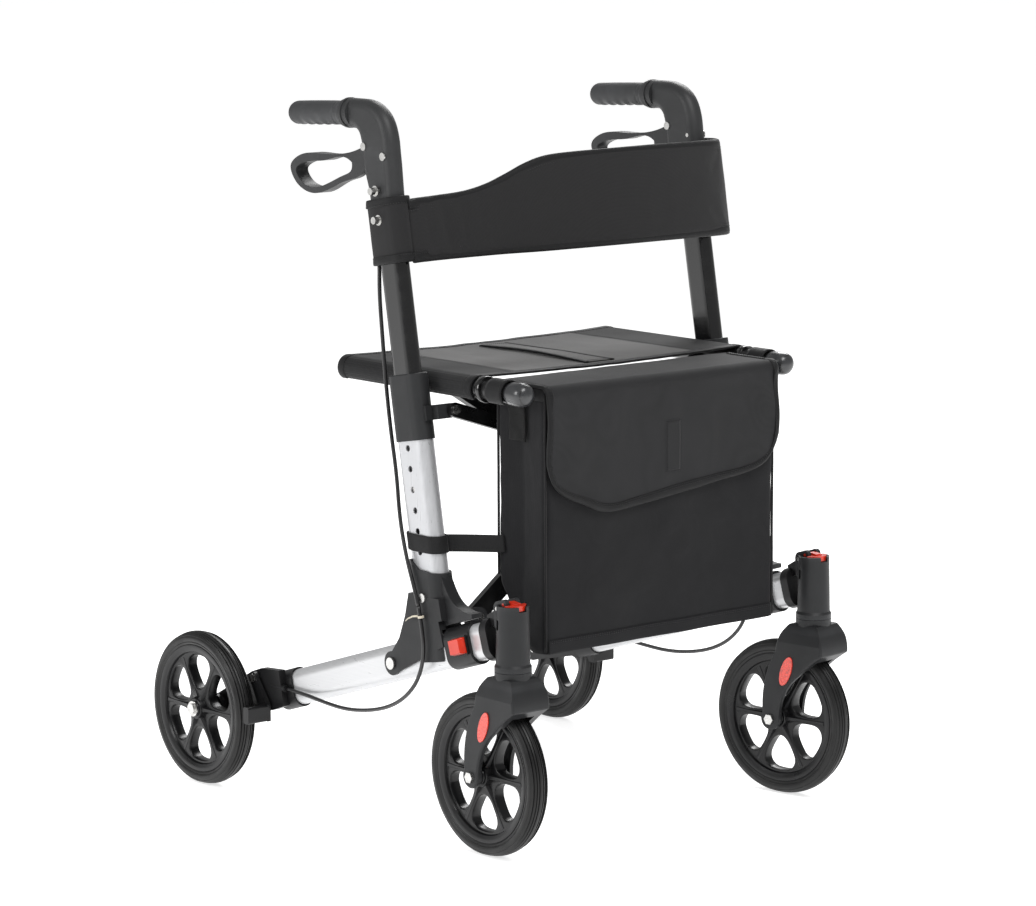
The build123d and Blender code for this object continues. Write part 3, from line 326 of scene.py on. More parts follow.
MOULDING = moulded("dark_moulding", (0.0165, 0.017, 0.018), 0.46, specular=0.3)
HANDLE_MOULDING = moulded("handle_moulding", (0.026, 0.0265, 0.0275), 0.48, specular=0.35)
BRACKET = moulded("bracket_moulding", (0.007, 0.007, 0.0075), 0.38, specular=0.3)
RIM = moulded("rim_plastic", (0.005, 0.005, 0.0055), 0.32, grain=0.0014, depth=0.00004, specular=0.35)
TYRE = rubber("tyre_rubber", (0.0095, 0.0095, 0.0095), 0.42)
GRIP = rubber("grip_rubber", (0.040, 0.041, 0.043), 0.55)
KNOB = gloss("knob_plastic", (0.028, 0.029, 0.031), 0.3)
UPRIGHT_METAL = anodised("anodised_upright", (0.56, 0.565, 0.58), (9, 9, 0.25))
BASE_METAL = anodised("anodised_base", (0.62, 0.625, 0.635), (9, 0.3, 9))
BLACK_TUBE = enamel("black_tube", (0.003, 0.003, 0.0033), 0.16, 0.5)
BLACK_ENAMEL = enamel("black_enamel", (0.004, 0.004, 0.0043), 0.3, 0.15)
ZINC = metal("zinc", (0.6, 0.595, 0.58), 0.24)
RED = gloss("red_plastic", (0.62, 0.028, 0.008), 0.32)
REFLECTOR = reflector("red_reflector", (0.68, 0.035, 0.015))
CABLE = gloss("cable_sheath", (0.005, 0.005, 0.0055), 0.35)
TIE = gloss("tie_nylon", (0.55, 0.5, 0.4), 0.4, 0.0)
SEAT_CLOTH = woven("seat_cloth", (0.024, 0.0228, 0.0215), 0.0011, spread=0.16)
SEAT_MESH = woven("seat_mesh", (0.0085, 0.0085, 0.009), 0.0024, depth=0.0005, spread=0.5, sheen=0.08)
BACK_CLOTH = woven("backrest_cloth", (0.0125, 0.0122, 0.0128), 0.0009, spread=0.16, sheen=0.1)
BAG_CLOTH = woven("bag_cloth", (0.0055, 0.0055, 0.0065), 0.0008, spread=0.22, sheen=0.07)
FLAP_CLOTH = woven("flap_cloth", (0.0135, 0.0135, 0.0145), 0.0008, spread=0.24, sheen=0.1)
BINDING = woven("binding_tape", (0.0045, 0.0045, 0.005), 0.0014, roughness=0.62, depth=0.0002, sheen=0.06)
VELCRO = rubber("hook_and_loop", (0.006, 0.006, 0.006), 0.8, grain=0.0016)
STRAP = woven("strap_webbing", (0.0055, 0.0055, 0.006), 0.0018, roughness=0.6, depth=0.0003, sheen=0.06)
THREAD = woven("thread", (0.022, 0.022, 0.023), 0.0006, roughness=0.6, sheen=0.05)

FINISH = {
    "silver_tube": UPRIGHT_METAL, "black_tube": BLACK_TUBE, "black_enamel": BLACK_ENAMEL,
    "bracket_moulding": BRACKET, "dark_moulding": MOULDING, "handle_moulding": HANDLE_MOULDING,
    "rim_plastic": RIM, "tyre": TYRE, "grip_rubber": GRIP, "zinc": ZINC, "red_plastic": RED,
    "red_reflector": REFLECTOR, "seat_fabric": SEAT_CLOTH, "backrest_fabric": BACK_CLOTH,
    "bag_fabric": BAG_CLOTH, "cable_sheath": CABLE,
}


def paint_frame():
    """Every CAD node that stays visible gets its slot's finish."""
    for entry in frame["record"]["subparts"]:
        node = NODES[entry["node"]]
        finish = FINISH[entry["material_slot"]]
        if entry["node"].startswith("lower_tube"):
            finish = BASE_METAL
        if entry["node"].startswith("brake_arm"):
            finish = BRACKET
        for index in range(max(1, len(node.data.materials))):
            if index < len(node.data.materials):
                node.data.materials[index] = finish
            else:
                node.data.materials.append(finish)


paint_frame()


# ---- mesh helpers ------------------------------------------------------------------------------------
def piece(name, points, faces, material, body=None, replaces=()):
    """A mesh in the row frame that rides on a body."""
    mesh = bpy.data.meshes.new(name)
    mesh.from_pydata([tuple(point) for point in points], [], faces)
    mesh.update()
    work = bmesh.new()
    work.from_mesh(mesh)
    bmesh.ops.recalc_face_normals(work, faces=work.faces)
    work.to_mesh(mesh)
    work.free()
    mesh.materials.append(material)
    mesh.shade_smooth()
    made = bpy.data.objects.new(name, mesh)
    bpy.context.scene.collection.objects.link(made)
    if replaces:
        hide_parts(*replaces)
    if body:
        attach(made, body)
    return made


def across(direction):
    """Two unit vectors square to a direction and to each other."""
    direction = Vector(direction).normalized()
    helper = Vector((0, 0, 1)) if abs(direction.z) < 0.9 else Vector((0, 1, 0))
    first = direction.cross(helper).normalized()
    return first, direction.cross(first).normalized()


def lathe(profile, origin, axis, steps=96):
    """Points and faces of a closed profile of (radius, distance along the axis) turned about the axis."""
    origin = Vector(origin)
    axis = Vector(axis).normalized()
    first, second = across(axis)
    points = []
    for step in range(steps):
        angle = math.tau * step / steps
        radial = first * math.cos(angle) + second * math.sin(angle)
        points += [origin + radial * radius + axis * offset for radius, offset in profile]
    count = len(profile)
    faces = []
    for step in range(steps):
        here, there = step * count, (step + 1) % steps * count
        for index in range(count):
            after = (index + 1) % count
            faces.append((here + index, there + index, there + after, here + after))
    return points, faces


def in_metres(profile):
    return [(radius * MM, offset * MM) for radius, offset in profile]


def tube_faces(count, rings, closed=False, around=False):
    """Faces of rings of this many points, capped at both ends unless the last ring meets the first."""
    faces = []
    for ring in range(rings if closed else rings - 1):
        here, there = ring * count, (ring + 1) % rings * count
        for k in range(count):
            after = (k + 1) % count
            faces.append((here + k, here + after, there + after, there + k) if around
                         else (here + k, there + k, there + after, here + after))
    if not closed:
        last = (rings - 1) * count
        faces += [tuple(range(count)), tuple(last + k for k in reversed(range(count)))]
    return faces


def join_shapes(*shapes):
    points, faces = [], []
    for more_points, more_faces in shapes:
        start = len(points)
        points += more_points
        faces += [tuple(start + index for index in face) for face in more_faces]
    return points, faces


def plate(outline, holes, half, bevel, place):
    """A flat plate with holes and rounded edges; place turns its (x, y, z) to the row frame."""
    curve = bpy.data.curves.new("plate", "CURVE")
    curve.dimensions = "2D"
    curve.fill_mode = "BOTH"
    curve.extrude = half - bevel
    curve.bevel_depth = bevel
    curve.bevel_resolution = 2
    curve.offset = -bevel
    for loop in (outline, *holes):
        spline = curve.splines.new("POLY")
        spline.points.add(len(loop) - 1)
        for point, (x, y) in zip(spline.points, loop):
            point.co = (x, y, 0, 1)
        spline.use_cyclic_u = True
    return curve_shape(curve, place)


def curve_shape(curve, place=None):
    holder = bpy.data.objects.new("holder", curve)
    bpy.context.scene.collection.objects.link(holder)
    bpy.context.view_layer.update()
    mesh = bpy.data.meshes.new_from_object(holder.evaluated_get(bpy.context.evaluated_depsgraph_get()))
    work = bmesh.new()
    work.from_mesh(mesh)
    bmesh.ops.remove_doubles(work, verts=work.verts, dist=1e-6)
    points = [place(vertex.co) if place else vertex.co.copy() for vertex in work.verts]
    faces = [tuple(vertex.index for vertex in face.verts) for face in work.faces]
    work.free()
    bpy.data.objects.remove(holder)
    bpy.data.meshes.remove(mesh)
    return points, faces


def sharpen(obj, degrees=35):
    """Smooth shading that keeps the edges sharper than this."""
    obj.data.shade_smooth()
    obj.data.set_sharp_from_angle(angle=math.radians(degrees))


# ---- wheels ------------------------------------------------------------------------------------------
SPOKES = 6
WINDOW_MIDDLE, WINDOW_HALF = 0.0475, 0.0225
# a spoke's raised rib: (radius, half width, height)
RIB = ((0.013, 0.0028, 0.0130), (0.030, 0.0020, 0.0098), (0.052, 0.0016, 0.0082), (0.070, 0.0024, 0.0082))


def spoke_half(radius):
    """Half the width of a spoke: waisted in the middle and flared at both ends."""
    rim_flare = 5.5 * max(0.0, (radius / MM - 48) / 22) ** 2
    hub_flare = 2.2 * max(0.0, (34 - radius / MM) / 10) ** 2
    return (4.6 + rim_flare + hub_flare) * MM


def window(index, count=56):
    loop = []
    for step in range(count):
        angle = math.tau * step / count
        c, s = math.cos(angle), math.sin(angle)
        outward = math.copysign(abs(c) ** 0.55, c)
        sideways = math.copysign(abs(s) ** 0.6, s)
        radius = WINDOW_MIDDLE + WINDOW_HALF * outward
        half = math.pi / SPOKES - math.asin(spoke_half(radius) / radius)
        bearing = math.tau * (index + 0.5) / SPOKES + half * sideways
        loop.append((radius * math.cos(bearing), radius * math.sin(bearing)))
    return loop


def circle(radius, count):
    angles = [math.tau * step / count for step in range(count)]
    return [(radius * math.cos(angle), radius * math.sin(angle)) for angle in angles]


def tyre_profile():
    """Half-round tread with five grooves, a bead lip and a rib on each wall; millimetres."""
    half = [(83.1, 11.6), (84.2, 12.6), (86.2, 13.0), (86.8, 12.5), (87.5, 13.1), (90.5, 13.9), (93.5, 13.5),
            (94.3, 12.7), (95.1, 12.9), (97.4, 11.1)]
    for groove in (9.6, 6.2, 2.9):
        edge = 100 - 0.031 * groove * groove
        half += [(edge - 0.06, groove + 0.75), (edge - 1.3, groove + 0.45), (edge - 1.3, groove - 0.45),
                 (edge + 0.02, groove - 0.75)]
    half += [(100.0, 1.2)]
    mirrored = [(radius, -offset) for radius, offset in reversed(half)]
    return in_metres(half + mirrored)


def wheel(end, side, joint, body):
    centre = Vector(JOINTS[joint]["pos_m"])
    axis = Vector(JOINTS[joint]["axis"]).normalized()
    points, faces = lathe(tyre_profile(), centre, axis, 128)
    tyre = piece(f"{end}_{side}_tyre_mesh", points, faces, TYRE, body, [f"{end}_{side}_tyre"])
    sharpen(tyre, 40)

    first, second = across(axis)

    def place(point):
        return centre + first * point.x + second * point.y + axis * point.z

    ring = [(72.5, 7.5), (74.0, 10.5), (77.5, 11.6), (81.4, 12.6), (82.9, 12.2), (82.9, -12.2), (81.4, -12.6),
            (77.5, -11.6), (74.0, -10.5), (72.5, -7.5), (71.6, 0.0)]
    barrel = [(4.2, 16.4), (9.5, 16.4), (10.2, 15.0), (12.6, 15.0), (13.6, 14.2), (15.4, 8.0), (16.0, 0.0),
              (15.4, -8.0), (13.6, -14.2), (12.6, -15.0), (10.2, -15.0), (9.5, -16.4), (4.2, -16.4)]
    groove = [(69.2, 5.6), (70.4, 7.6), (72.6, 7.6), (72.6, -7.6), (70.4, -7.6), (69.2, -5.6)]
    shapes = [lathe(in_metres(profile), centre, axis, steps)
              for profile, steps in ((ring, 96), (barrel, 48), (groove, 96))]
    outline, hole = circle(0.0735, 96), circle(0.0043, 24)
    holes = [window(index) for index in range(SPOKES)] + [hole]
    shapes.append(plate(outline, holes, 0.0075, 0.0016, place))
    ribs = []
    for index in range(SPOKES):
        bearing = math.tau * index / SPOKES
        radial = first * math.cos(bearing) + second * math.sin(bearing)
        sideways = axis.cross(radial)
        for face_side in (1, -1):
            rib = []
            for radius, half, height in RIB:
                rib += [centre + radial * radius + sideways * half * sign + axis * face_side * level
                        for sign, level in ((-1.6, 0.0070), (-0.8, height), (0.8, height), (1.6, 0.0070))]
            faces = [(4 * k + a, 4 * k + a + 1, 4 * k + a + 5, 4 * k + a + 4)
                     for k in range(3) for a in range(3)]
            faces += [(0, 1, 2, 3), (12, 13, 14, 15)]
            faces += [(4 * k, 4 * k + 4, 4 * k + 7, 4 * k + 3) for k in range(3)]
            ribs.append((rib, faces))
    points, faces = join_shapes(*shapes, *ribs)
    rim = piece(f"{end}_{side}_rim_mesh", points, faces, RIM, body, [f"{end}_{side}_rim"])
    sharpen(rim, 35)


for side in SIDES:
    wheel("rear", side, f"{side}_rear_wheel_spin", f"{side}_rear_wheel")
    wheel("front", side, f"{side}_front_wheel_spin", f"{side}_front_wheel")


# ---- cables ------------------------------------------------------------------------------------------
def axis_y(z):
    """The y of an upright's axis at height z, in millimetres."""
    return -155.6 + (z - 330) * LEAN


# the cable's (x, distance behind the upright's axis, z) from the handle to the housing
UPPER_CABLE = [(251, 24, 738), (252, 24, 706), (256, 27, 668), (257, 30, 612), (257, 34, 556), (258, 34, 500),
               (259, 31, 446), (263, 30, 396), (267.5, 20, 350), (269, 8, 310)]


def cable(name, route, thickness, replaces=()):
    curve = bpy.data.curves.new(name, "CURVE")
    curve.dimensions = "3D"
    curve.bevel_depth = thickness / 2
    curve.bevel_resolution = 5
    curve.resolution_u = 10
    curve.use_fill_caps = True
    spline = curve.splines.new("NURBS")
    spline.points.add(len(route) - 1)
    for point, place in zip(spline.points, route):
        point.co = (*(value * MM for value in place), 1)
    spline.order_u = 3
    spline.use_endpoint_u = True
    points, faces = curve_shape(curve)
    made = piece(name, points, faces, CABLE, None, replaces)
    first, last = ([value * MM for value in place] for place in (route[0], route[-1]))
    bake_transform(made)
    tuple(first)
    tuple(last)


for side, s in SIDES.items():
    upper = [(s * x, axis_y(z) + behind, z) for x, behind, z in UPPER_CABLE] + [(s * 269, -157, 293)]
    lower = [(s * 269, -157, 293), (s * 269, -163, 272), (s * 269, -168, 236), (s * 269.5, -158, 203),
             (s * 270, -134, 177), (s * 270, -100, 158), (s * 270, -58, 146), (s * 270, -10, 139.5),
             (s * 269, 36, 140.5), (s * 267, 80, 143.3), (s * 266, 121, 143.5)]
    cable(f"cable_upper_{side}", upper, 5 * MM,
          replaces=["brake_cables"] if side == "right" else [])
    cable(f"cable_lower_{side}", lower, 5 * MM)


# ---- cloth helpers -----------------------------------------------------------------------------------
def grid_faces(columns, rows):
    """Faces of a grid whose points run row by row within each column."""
    return [(c * rows + r, (c + 1) * rows + r, (c + 1) * rows + r + 1, c * rows + r + 1)
            for c in range(columns - 1) for r in range(rows - 1)]


def spread(low, high, count):
    return [low + (high - low) * index / (count - 1) for index in range(count)]


def through(stops, value):
    """A smooth curve through (position, height) stops, read at one position."""
    if value <= stops[0][0]:
        return stops[0][1]
    for index in range(len(stops) - 1):
        (x0, y0), (x1, y1) = stops[index], stops[index + 1]
        if value <= x1:
            before = stops[max(index - 1, 0)]
            after = stops[min(index + 2, len(stops) - 1)]
            slope0 = (y1 - before[1]) / (x1 - before[0])
            slope1 = (after[1] - y0) / (after[0] - x0)
            t = (value - x0) / (x1 - x0)
            width = x1 - x0
            return ((1 + 2 * t) * (1 - t) ** 2 * y0 + t * (1 - t) ** 2 * width * slope0
                    + t * t * (3 - 2 * t) * y1 + t * t * (t - 1) * width * slope1)
    return stops[-1][1]


def crease(x, y, z, size, seed=0.0):
    """Smooth repeatable noise from -1 to 1 with features about this large."""
    return noise.noise(Vector((x / size + seed, y / size - seed, z / size + 2 * seed)))


def thick_sheet(name, surface, columns, rows, half, material, body=None, replaces=(), rim=1.0):
    """A closed sheet: surface(u, v) gives a centre point and normal for u and v from 0 to 1."""
    front, back = [], []
    for u in spread(0, 1, columns):
        for v in spread(0, 1, rows):
            point, normal = surface(u, v)
            edge = min(u, 1 - u, v, 1 - v)
            swell = half * (rim + (1 - rim) * min(1.0, edge / 0.06) ** 0.5)
            front.append(point + normal * swell)
            back.append(point - normal * swell)
    faces = grid_faces(columns, rows)
    count = columns * rows
    faces += [tuple(count + index for index in reversed(face)) for face in grid_faces(columns, rows)]
    border = ([c * rows for c in range(columns)] + [(columns - 1) * rows + r for r in range(1, rows)]
              + [c * rows + rows - 1 for c in range(columns - 2, -1, -1)] + list(range(rows - 2, 0, -1)))
    for here, there in zip(border, border[1:] + border[:1]):
        faces.append((there, here, count + here, count + there))
    return piece(name, front + back, faces, material, body, replaces)


def tape(name, path, width, half, body, material=None, closed=False):
    """Binding folded over an edge: path gives (edge point, direction into the cloth, normal)."""
    section = [(-0.6, 0), (-0.45, 0.75), (0.1, 1), (0.92, 1), (1, 0.7), (1, -0.7), (0.92, -1), (0.1, -1),
               (-0.45, -0.75)]
    points = []
    for point, inward, normal in path:
        points += [point + inward * (width * a if a > 0 else half * a * 2) + normal * half * b
                   for a, b in section]
    faces = tube_faces(len(section), len(path), closed)
    return piece(name, points, faces, material or BINDING, body)


STITCH_FACES = tube_faces(4, 4)


def stitches(name, path, pitch, body, thickness=0.00035, share=0.62):
    """Raised stitches along a path of (point, normal)."""
    points, faces = [], []
    travelled, due = 0.0, 0.0
    for (start, normal), (end, _) in zip(path, path[1:]):
        length = (end - start).length
        if length < 1e-9:
            continue
        direction = (end - start) / length
        sideways = direction.cross(normal).normalized()
        while due < travelled + length:
            place = start + direction * (due - travelled)
            base = len(points)
            for along, size in ((0.0, 0.35), (0.2, 1.0), (0.8, 1.0), (1.0, 0.35)):
                middle = place + direction * pitch * share * along
                points += [middle + sideways * thickness * size, middle + normal * thickness * size * 1.3,
                           middle - sideways * thickness * size, middle - normal * thickness * size]
            faces += [tuple(base + index for index in face) for face in STITCH_FACES]
            due += pitch
        travelled += length
    return piece(name, points, faces, THREAD, body)


# ---- backrest ----------------------------------------------------------------------------------------
BAND_PLAN = [(-240.5, -29.6), (-222, -27.5), (-180, -27), (-110, -34), (-40, -50), (60, -58), (150, -56),
             (225, -47), (262, -38), (276, -26), (277, -14), (269, -3)]
BAND_FOOT = 706.0
BAND_TOP_EDGE = [(-245, 779), (-190, 781), (-150, 784), (-118, 791), (-92, 801), (-68, 812), (-45, 819.5),
                 (-20, 823), (40, 825), (150, 826), (230, 825), (290, 824)]
BAND_LOW_EDGE = [(-245, 710), (-150, 711), (0, 713), (150, 713), (290, 710)]


def plan_points(plan, count):
    """Evenly spaced points along a smooth plan curve."""
    fine = []
    for index in range(len(plan) - 1):
        p0 = Vector(plan[max(index - 1, 0)])
        p1, p2 = Vector(plan[index]), Vector(plan[index + 1])
        p3 = Vector(plan[min(index + 2, len(plan) - 1)])
        for step in range(12):
            t = step / 12
            fine.append(0.5 * (2 * p1 + (p2 - p0) * t + (2 * p0 - 5 * p1 + 4 * p2 - p3) * t * t
                               + (3 * p1 - p0 - 3 * p2 + p3) * t ** 3))
    fine.append(Vector(plan[-1]))
    lengths = [0.0]
    for a, b in zip(fine, fine[1:]):
        lengths.append(lengths[-1] + (b - a).length)
    made = []
    for target in spread(0, lengths[-1], count):
        index = max(i for i, reached in enumerate(lengths) if reached <= target + 1e-9)
        index = min(index, len(fine) - 2)
        t = (target - lengths[index]) / (lengths[index + 1] - lengths[index])
        made.append(fine[index].lerp(fine[index + 1], t))
    return made


BAND = plan_points(BAND_PLAN, 161)


def band_surface(u, v):
    """Point and outward (forward) normal on the backrest band."""
    index = u * (len(BAND) - 1)
    low = min(int(index), len(BAND) - 2)
    spot = BAND[low].lerp(BAND[low + 1], index - low)
    direction = (BAND[low + 1] - BAND[low]).normalized()
    bottom, top = through(BAND_LOW_EDGE, spot.x), through(BAND_TOP_EDGE, spot.x)
    height = bottom + (top - bottom) * v
    lift = (height - BAND_FOOT + spot.y * math.sin(TILT)) / math.cos(TILT)
    back = axis_y(BAND_FOOT) + spot.y * math.cos(TILT) + lift * math.sin(TILT)
    point = Vector((spot.x, back, height)) * MM
    normal = Vector((direction.y, -direction.x * math.cos(TILT), direction.x * math.sin(TILT))).normalized()
    pucker = 0.0
    if spot.x < -120:
        fade = min(1.0, (-120 - spot.x) / 60)
        pucker = fade * (0.7 * math.sin(spot.x / 4.6 + 2 * v) * math.sin(math.pi * v) ** 0.5)
    wave = 1.1 * crease(spot.x, height, 0, 85, 1.7) + 0.4 * crease(spot.x, height, 0, 28, 4.1)
    inside = min(1.0, 6 * min(v, 1 - v))
    return point + normal * (pucker + wave * inside) * MM, normal


def build_backrest():
    band = thick_sheet("backrest_band", band_surface, 241, 33, 3.1 * MM, BACK_CLOTH, None,
                       ["backrest"], rim=0.55)
    puff(band, pressure=1.6, cap=1.6 * MM)
    parts = [band]
    steps = spread(0, 1, 241)
    upright_steps = spread(0, 1, 33)

    def edge(pairs, inward_sign):
        made = []
        for u, v in pairs:
            point, normal = band_surface(u, v)
            other, _ = band_surface(u, min(1, max(0, v + 0.02 * inward_sign)))
            inward = (other - point).normalized()
            made.append((point, inward, normal))
        return made

    top = edge([(u, 1.0) for u in steps], -1)
    bottom = edge([(u, 0.0) for u in steps], 1)
    parts.append(tape("backrest_binding_top", top, 8.5 * MM, 3.4 * MM, None))
    parts.append(tape("backrest_binding_bottom", bottom, 8.5 * MM, 3.4 * MM, None))
    end = []
    for v in upright_steps:
        point, normal = band_surface(1.0, v)
        other, _ = band_surface(0.985, v)
        end.append((point, (other - point).normalized(), normal))
    parts.append(tape("backrest_binding_end", end, 8.5 * MM, 3.4 * MM, None))
    for label, inset, lift in (("outer", 6.8, 3.5 * MM), ("inner", 10.6, 3.35 * MM)):
        for edge_label, rows in (("top", top), ("bottom", bottom)):
            for face_label, face in (("front", 1), ("rear", -1)):
                path = [(point + inward * inset * MM + normal * face * lift, normal * face)
                        for point, inward, normal in rows]
                parts.append(stitches(f"backrest_stitch_{edge_label}_{label}_{face_label}", path, 3.4 * MM,
                                      None))
    for obj in parts:
        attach(obj, "right_handle")
        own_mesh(obj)
    for side, s in SIDES.items():
        build_back_sleeve(side, s)


def slot_loop(half_length, half_width, count):
    """Points round a stadium, as (rearwards, sideways)."""
    straight = half_length - half_width
    loop = []
    for index in range(count):
        angle = math.tau * index / count
        c, s_ = math.cos(angle), math.sin(angle)
        loop.append((half_width * c + math.copysign(straight, c) * min(1.0, abs(c) * 2.2), half_width * s_))
    return loop


def build_back_sleeve(side, s):
    """Cloth sleeve round the handle column that the band is sewn to."""
    loop_out, loop_in = slot_loop(31.0, 17.6, 64), slot_loop(27.2, 14.2, 64)
    low, high = 706.0, 780.5

    def place(a, b, height):
        base_y = axis_y(height)
        wobble = 0.6 * crease(a * 1.3, b, height, 22, 3.0 + s)
        spot = (s * FRAME_X + b * (1 + wobble / 40), base_y + a * math.cos(TILT), height - a * math.sin(TILT))
        return Vector(spot) * MM

    heights = spread(low, high, 15)
    points = [place(a, b, height) for height in heights for a, b in loop_out]
    inner_from = len(points)
    points += [place(a, b, height) for height in heights for a, b in loop_in]
    count = 64
    faces = []
    for start in (0, inner_from):
        for level in range(len(heights) - 1):
            here = start + level * count
            faces += [(here + k, here + (k + 1) % count, here + count + (k + 1) % count, here + count + k)
                      for k in range(count)]
    for level in (0, len(heights) - 1):
        here, there = level * count, inner_from + level * count
        faces += [(here + k, here + (k + 1) % count, there + (k + 1) % count, there + k)
                  for k in range(count)]
    piece(f"backrest_sleeve_{side}", points, faces, BACK_CLOTH, f"{side}_handle")
    for label, height, inward in (("top", high, Vector((0, 0, -1))), ("foot", low, Vector((0, 0, 1)))):
        path = []
        for a, b in loop_out:
            point = place(a * 0.985, b * 0.97, height)
            centre = place(0, 0, height)
            path.append((point, inward, (point - centre).normalized()))
        tape(f"backrest_sleeve_{label}_{side}", path, 8 * MM, 1.9 * MM, f"{side}_handle",
             closed=True)
        path = [(point + inward * 6.4 * MM + normal * 2.1 * MM, normal) for point, inward, normal in path]
        stitches(f"backrest_sleeve_stitch_{label}_{side}", path + path[:1], 3.4 * MM, f"{side}_handle")
    seam_a = 24.0
    aside, outward = Vector((-s * 3.2 * MM, -1.5 * MM, 0)), Vector((-s * 0.8, -0.6, 0))
    path = [(place(-seam_a, -s * 14.6, height) + aside, outward) for height in spread(low + 8, high - 8, 12)]
    stitches(f"backrest_sleeve_seam_{side}", path, 3.4 * MM, f"{side}_handle")


def puff(obj, pressure, cap):
    """Lets the padding fill the cover: a short cloth simulation, with every point's travel limited."""
    before = [vertex.co.copy() for vertex in obj.data.vertices]
    cloth = obj.modifiers.new("cloth", "CLOTH")
    cloth.settings.use_pressure = True
    cloth.settings.uniform_pressure_force = pressure
    cloth.settings.quality = 4
    cloth.settings.mass = 0.2
    cloth.settings.tension_stiffness = 25
    cloth.settings.compression_stiffness = 25
    cloth.settings.bending_stiffness = 0.6
    cloth.settings.effector_weights.gravity = 0
    cloth.collision_settings.use_collision = False
    scene = bpy.context.scene
    for number in range(1, 15):
        scene.frame_set(number)
    evaluated = obj.evaluated_get(bpy.context.evaluated_depsgraph_get())
    after = [vertex.co.copy() for vertex in evaluated.data.vertices]
    obj.modifiers.clear()
    scene.frame_set(1)
    for vertex, old, new in zip(obj.data.vertices, before, after):
        move = new - old
        if move.length > cap:
            move = move.normalized() * cap
        vertex.co = old + move
    obj.data.update()


build_backrest()


# ---- grips -------------------------------------------------------------------------------------------
def build_grip(side, s):
    """Rubber grip: a flange, a finger-ribbed underside, flats on the outer side and a rounded end."""
    dip = math.radians(2.8)
    start = Vector((s * FRAME_X, -1, 882.5)) * MM
    rearward = Vector((0, math.cos(dip), -math.sin(dip)))
    upward = Vector((0, math.sin(dip), math.cos(dip)))
    sideways = Vector((1, 0, 0))
    rows, steps = 120, 72
    points = []
    for row in range(rows):
        distance = 0.6 + 111.8 * row / (rows - 1)
        for step in range(steps):
            angle = math.tau * step / steps
            down = max(0.0, -math.sin(angle))
            radius = 14.6 + 0.5 * math.sin(math.pi * distance / 112)
            radius += 2.6 / (1 + math.exp((distance - 7.5) / 0.8))
            rib_zone = 1 / (1 + math.exp((28 - distance) / 3)) / (1 + math.exp((distance - 98) / 3))
            radius -= 1.5 * down ** 1.5 * rib_zone * (0.5 + 0.5 * math.cos(math.tau * distance / 17))
            outer = max(0.0, s * math.cos(angle))
            swirl = 0.5 + 0.5 * math.sin(math.tau * (distance / 34 + angle / math.tau))
            radius -= 0.9 * rib_zone * outer ** 4 * swirl
            radius -= 0.7 * math.exp(-((distance - 17) / 1.4) ** 2)
            if distance > 100:
                tip = (distance - 100) / 12.4
                radius *= math.sqrt(max(0.0, 1 - 0.62 * tip ** 2.6))
            points.append(start + rearward * distance * MM + sideways * radius * math.cos(angle) * MM
                          + upward * radius * math.sin(angle) * MM)
    grip = piece(f"grip_rubber_{side}", points, tube_faces(steps, rows), GRIP, f"{side}_handle",
                 [f"grip_{side}"])
    sharpen(grip, 40)
    dimple = start + rearward * 112.5 * MM
    disc = [(0, -0.6), (6.2, -0.6), (6.8, 0), (6.2, 0.5), (4.6, 0.7), (3.6, 0.2), (0, 0.1)]
    points, faces = lathe(in_metres(disc), dimple, rearward, 40)
    piece(f"grip_end_{side}", points, faces, GRIP, f"{side}_handle")


# ---- seat --------------------------------------------------------------------------------------------
SEAT_X, SEAT_Z = 212.0, 560.0
SEAT_BACK_Y, SEAT_FRONT_Y = 54.0, -206.0
SLEEVE_R = 14.4


def seat_section(count):
    """Evenly spaced (x, z, x of the normal, z of the normal) across the sling, right to left."""
    fine = []
    for step in range(61):
        angle = math.radians(238 - 148 * step / 60)
        fine.append((-SEAT_X + SLEEVE_R * math.cos(angle), SEAT_Z + SLEEVE_R * math.sin(angle),
                     math.cos(angle), math.sin(angle)))
    sag = 3.2
    for step in range(1, 121):
        x = -SEAT_X + 2 * SEAT_X * step / 120
        share = x / SEAT_X
        fine.append((x, SEAT_Z + SLEEVE_R - sag * (1 - share * share) ** 0.7, 0.0, 1.0))
    fine += [(-x, z, -nx, nz) for x, z, nx, nz in reversed(fine[:60])]
    lengths = [0.0]
    for a, b in zip(fine, fine[1:]):
        lengths.append(lengths[-1] + math.dist(a[:2], b[:2]))
    made = []
    for target in spread(0, lengths[-1], count):
        index = min(max(i for i, reached in enumerate(lengths) if reached <= target + 1e-9), len(fine) - 2)
        share = (target - lengths[index]) / (lengths[index + 1] - lengths[index])
        made.append([a + (b - a) * share for a, b in zip(fine[index], fine[index + 1])])
    return made, lengths[-1]


SEAT_COLUMNS, SEAT_ROWS = 201, 53
SECTION, SECTION_LENGTH = seat_section(SEAT_COLUMNS)


def seat_surface(u, v):
    x, z, nx, nz = SECTION[min(SEAT_COLUMNS - 1, round(u * (SEAT_COLUMNS - 1)))]
    y = SEAT_FRONT_Y + (SEAT_BACK_Y - SEAT_FRONT_Y) * v
    flat = max(0.0, 1 - abs(x) / 200) ** 0.3
    wave = flat * (0.9 * crease(x, y, 0, 70, 5.3) + 0.5 * crease(x, y * 0.4, 0, 24, 2.2))
    normal = Vector((nx, 0, nz)).normalized()
    return Vector((x, y, z + wave)) * MM, normal


def seat_blend(obj):
    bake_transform(obj)


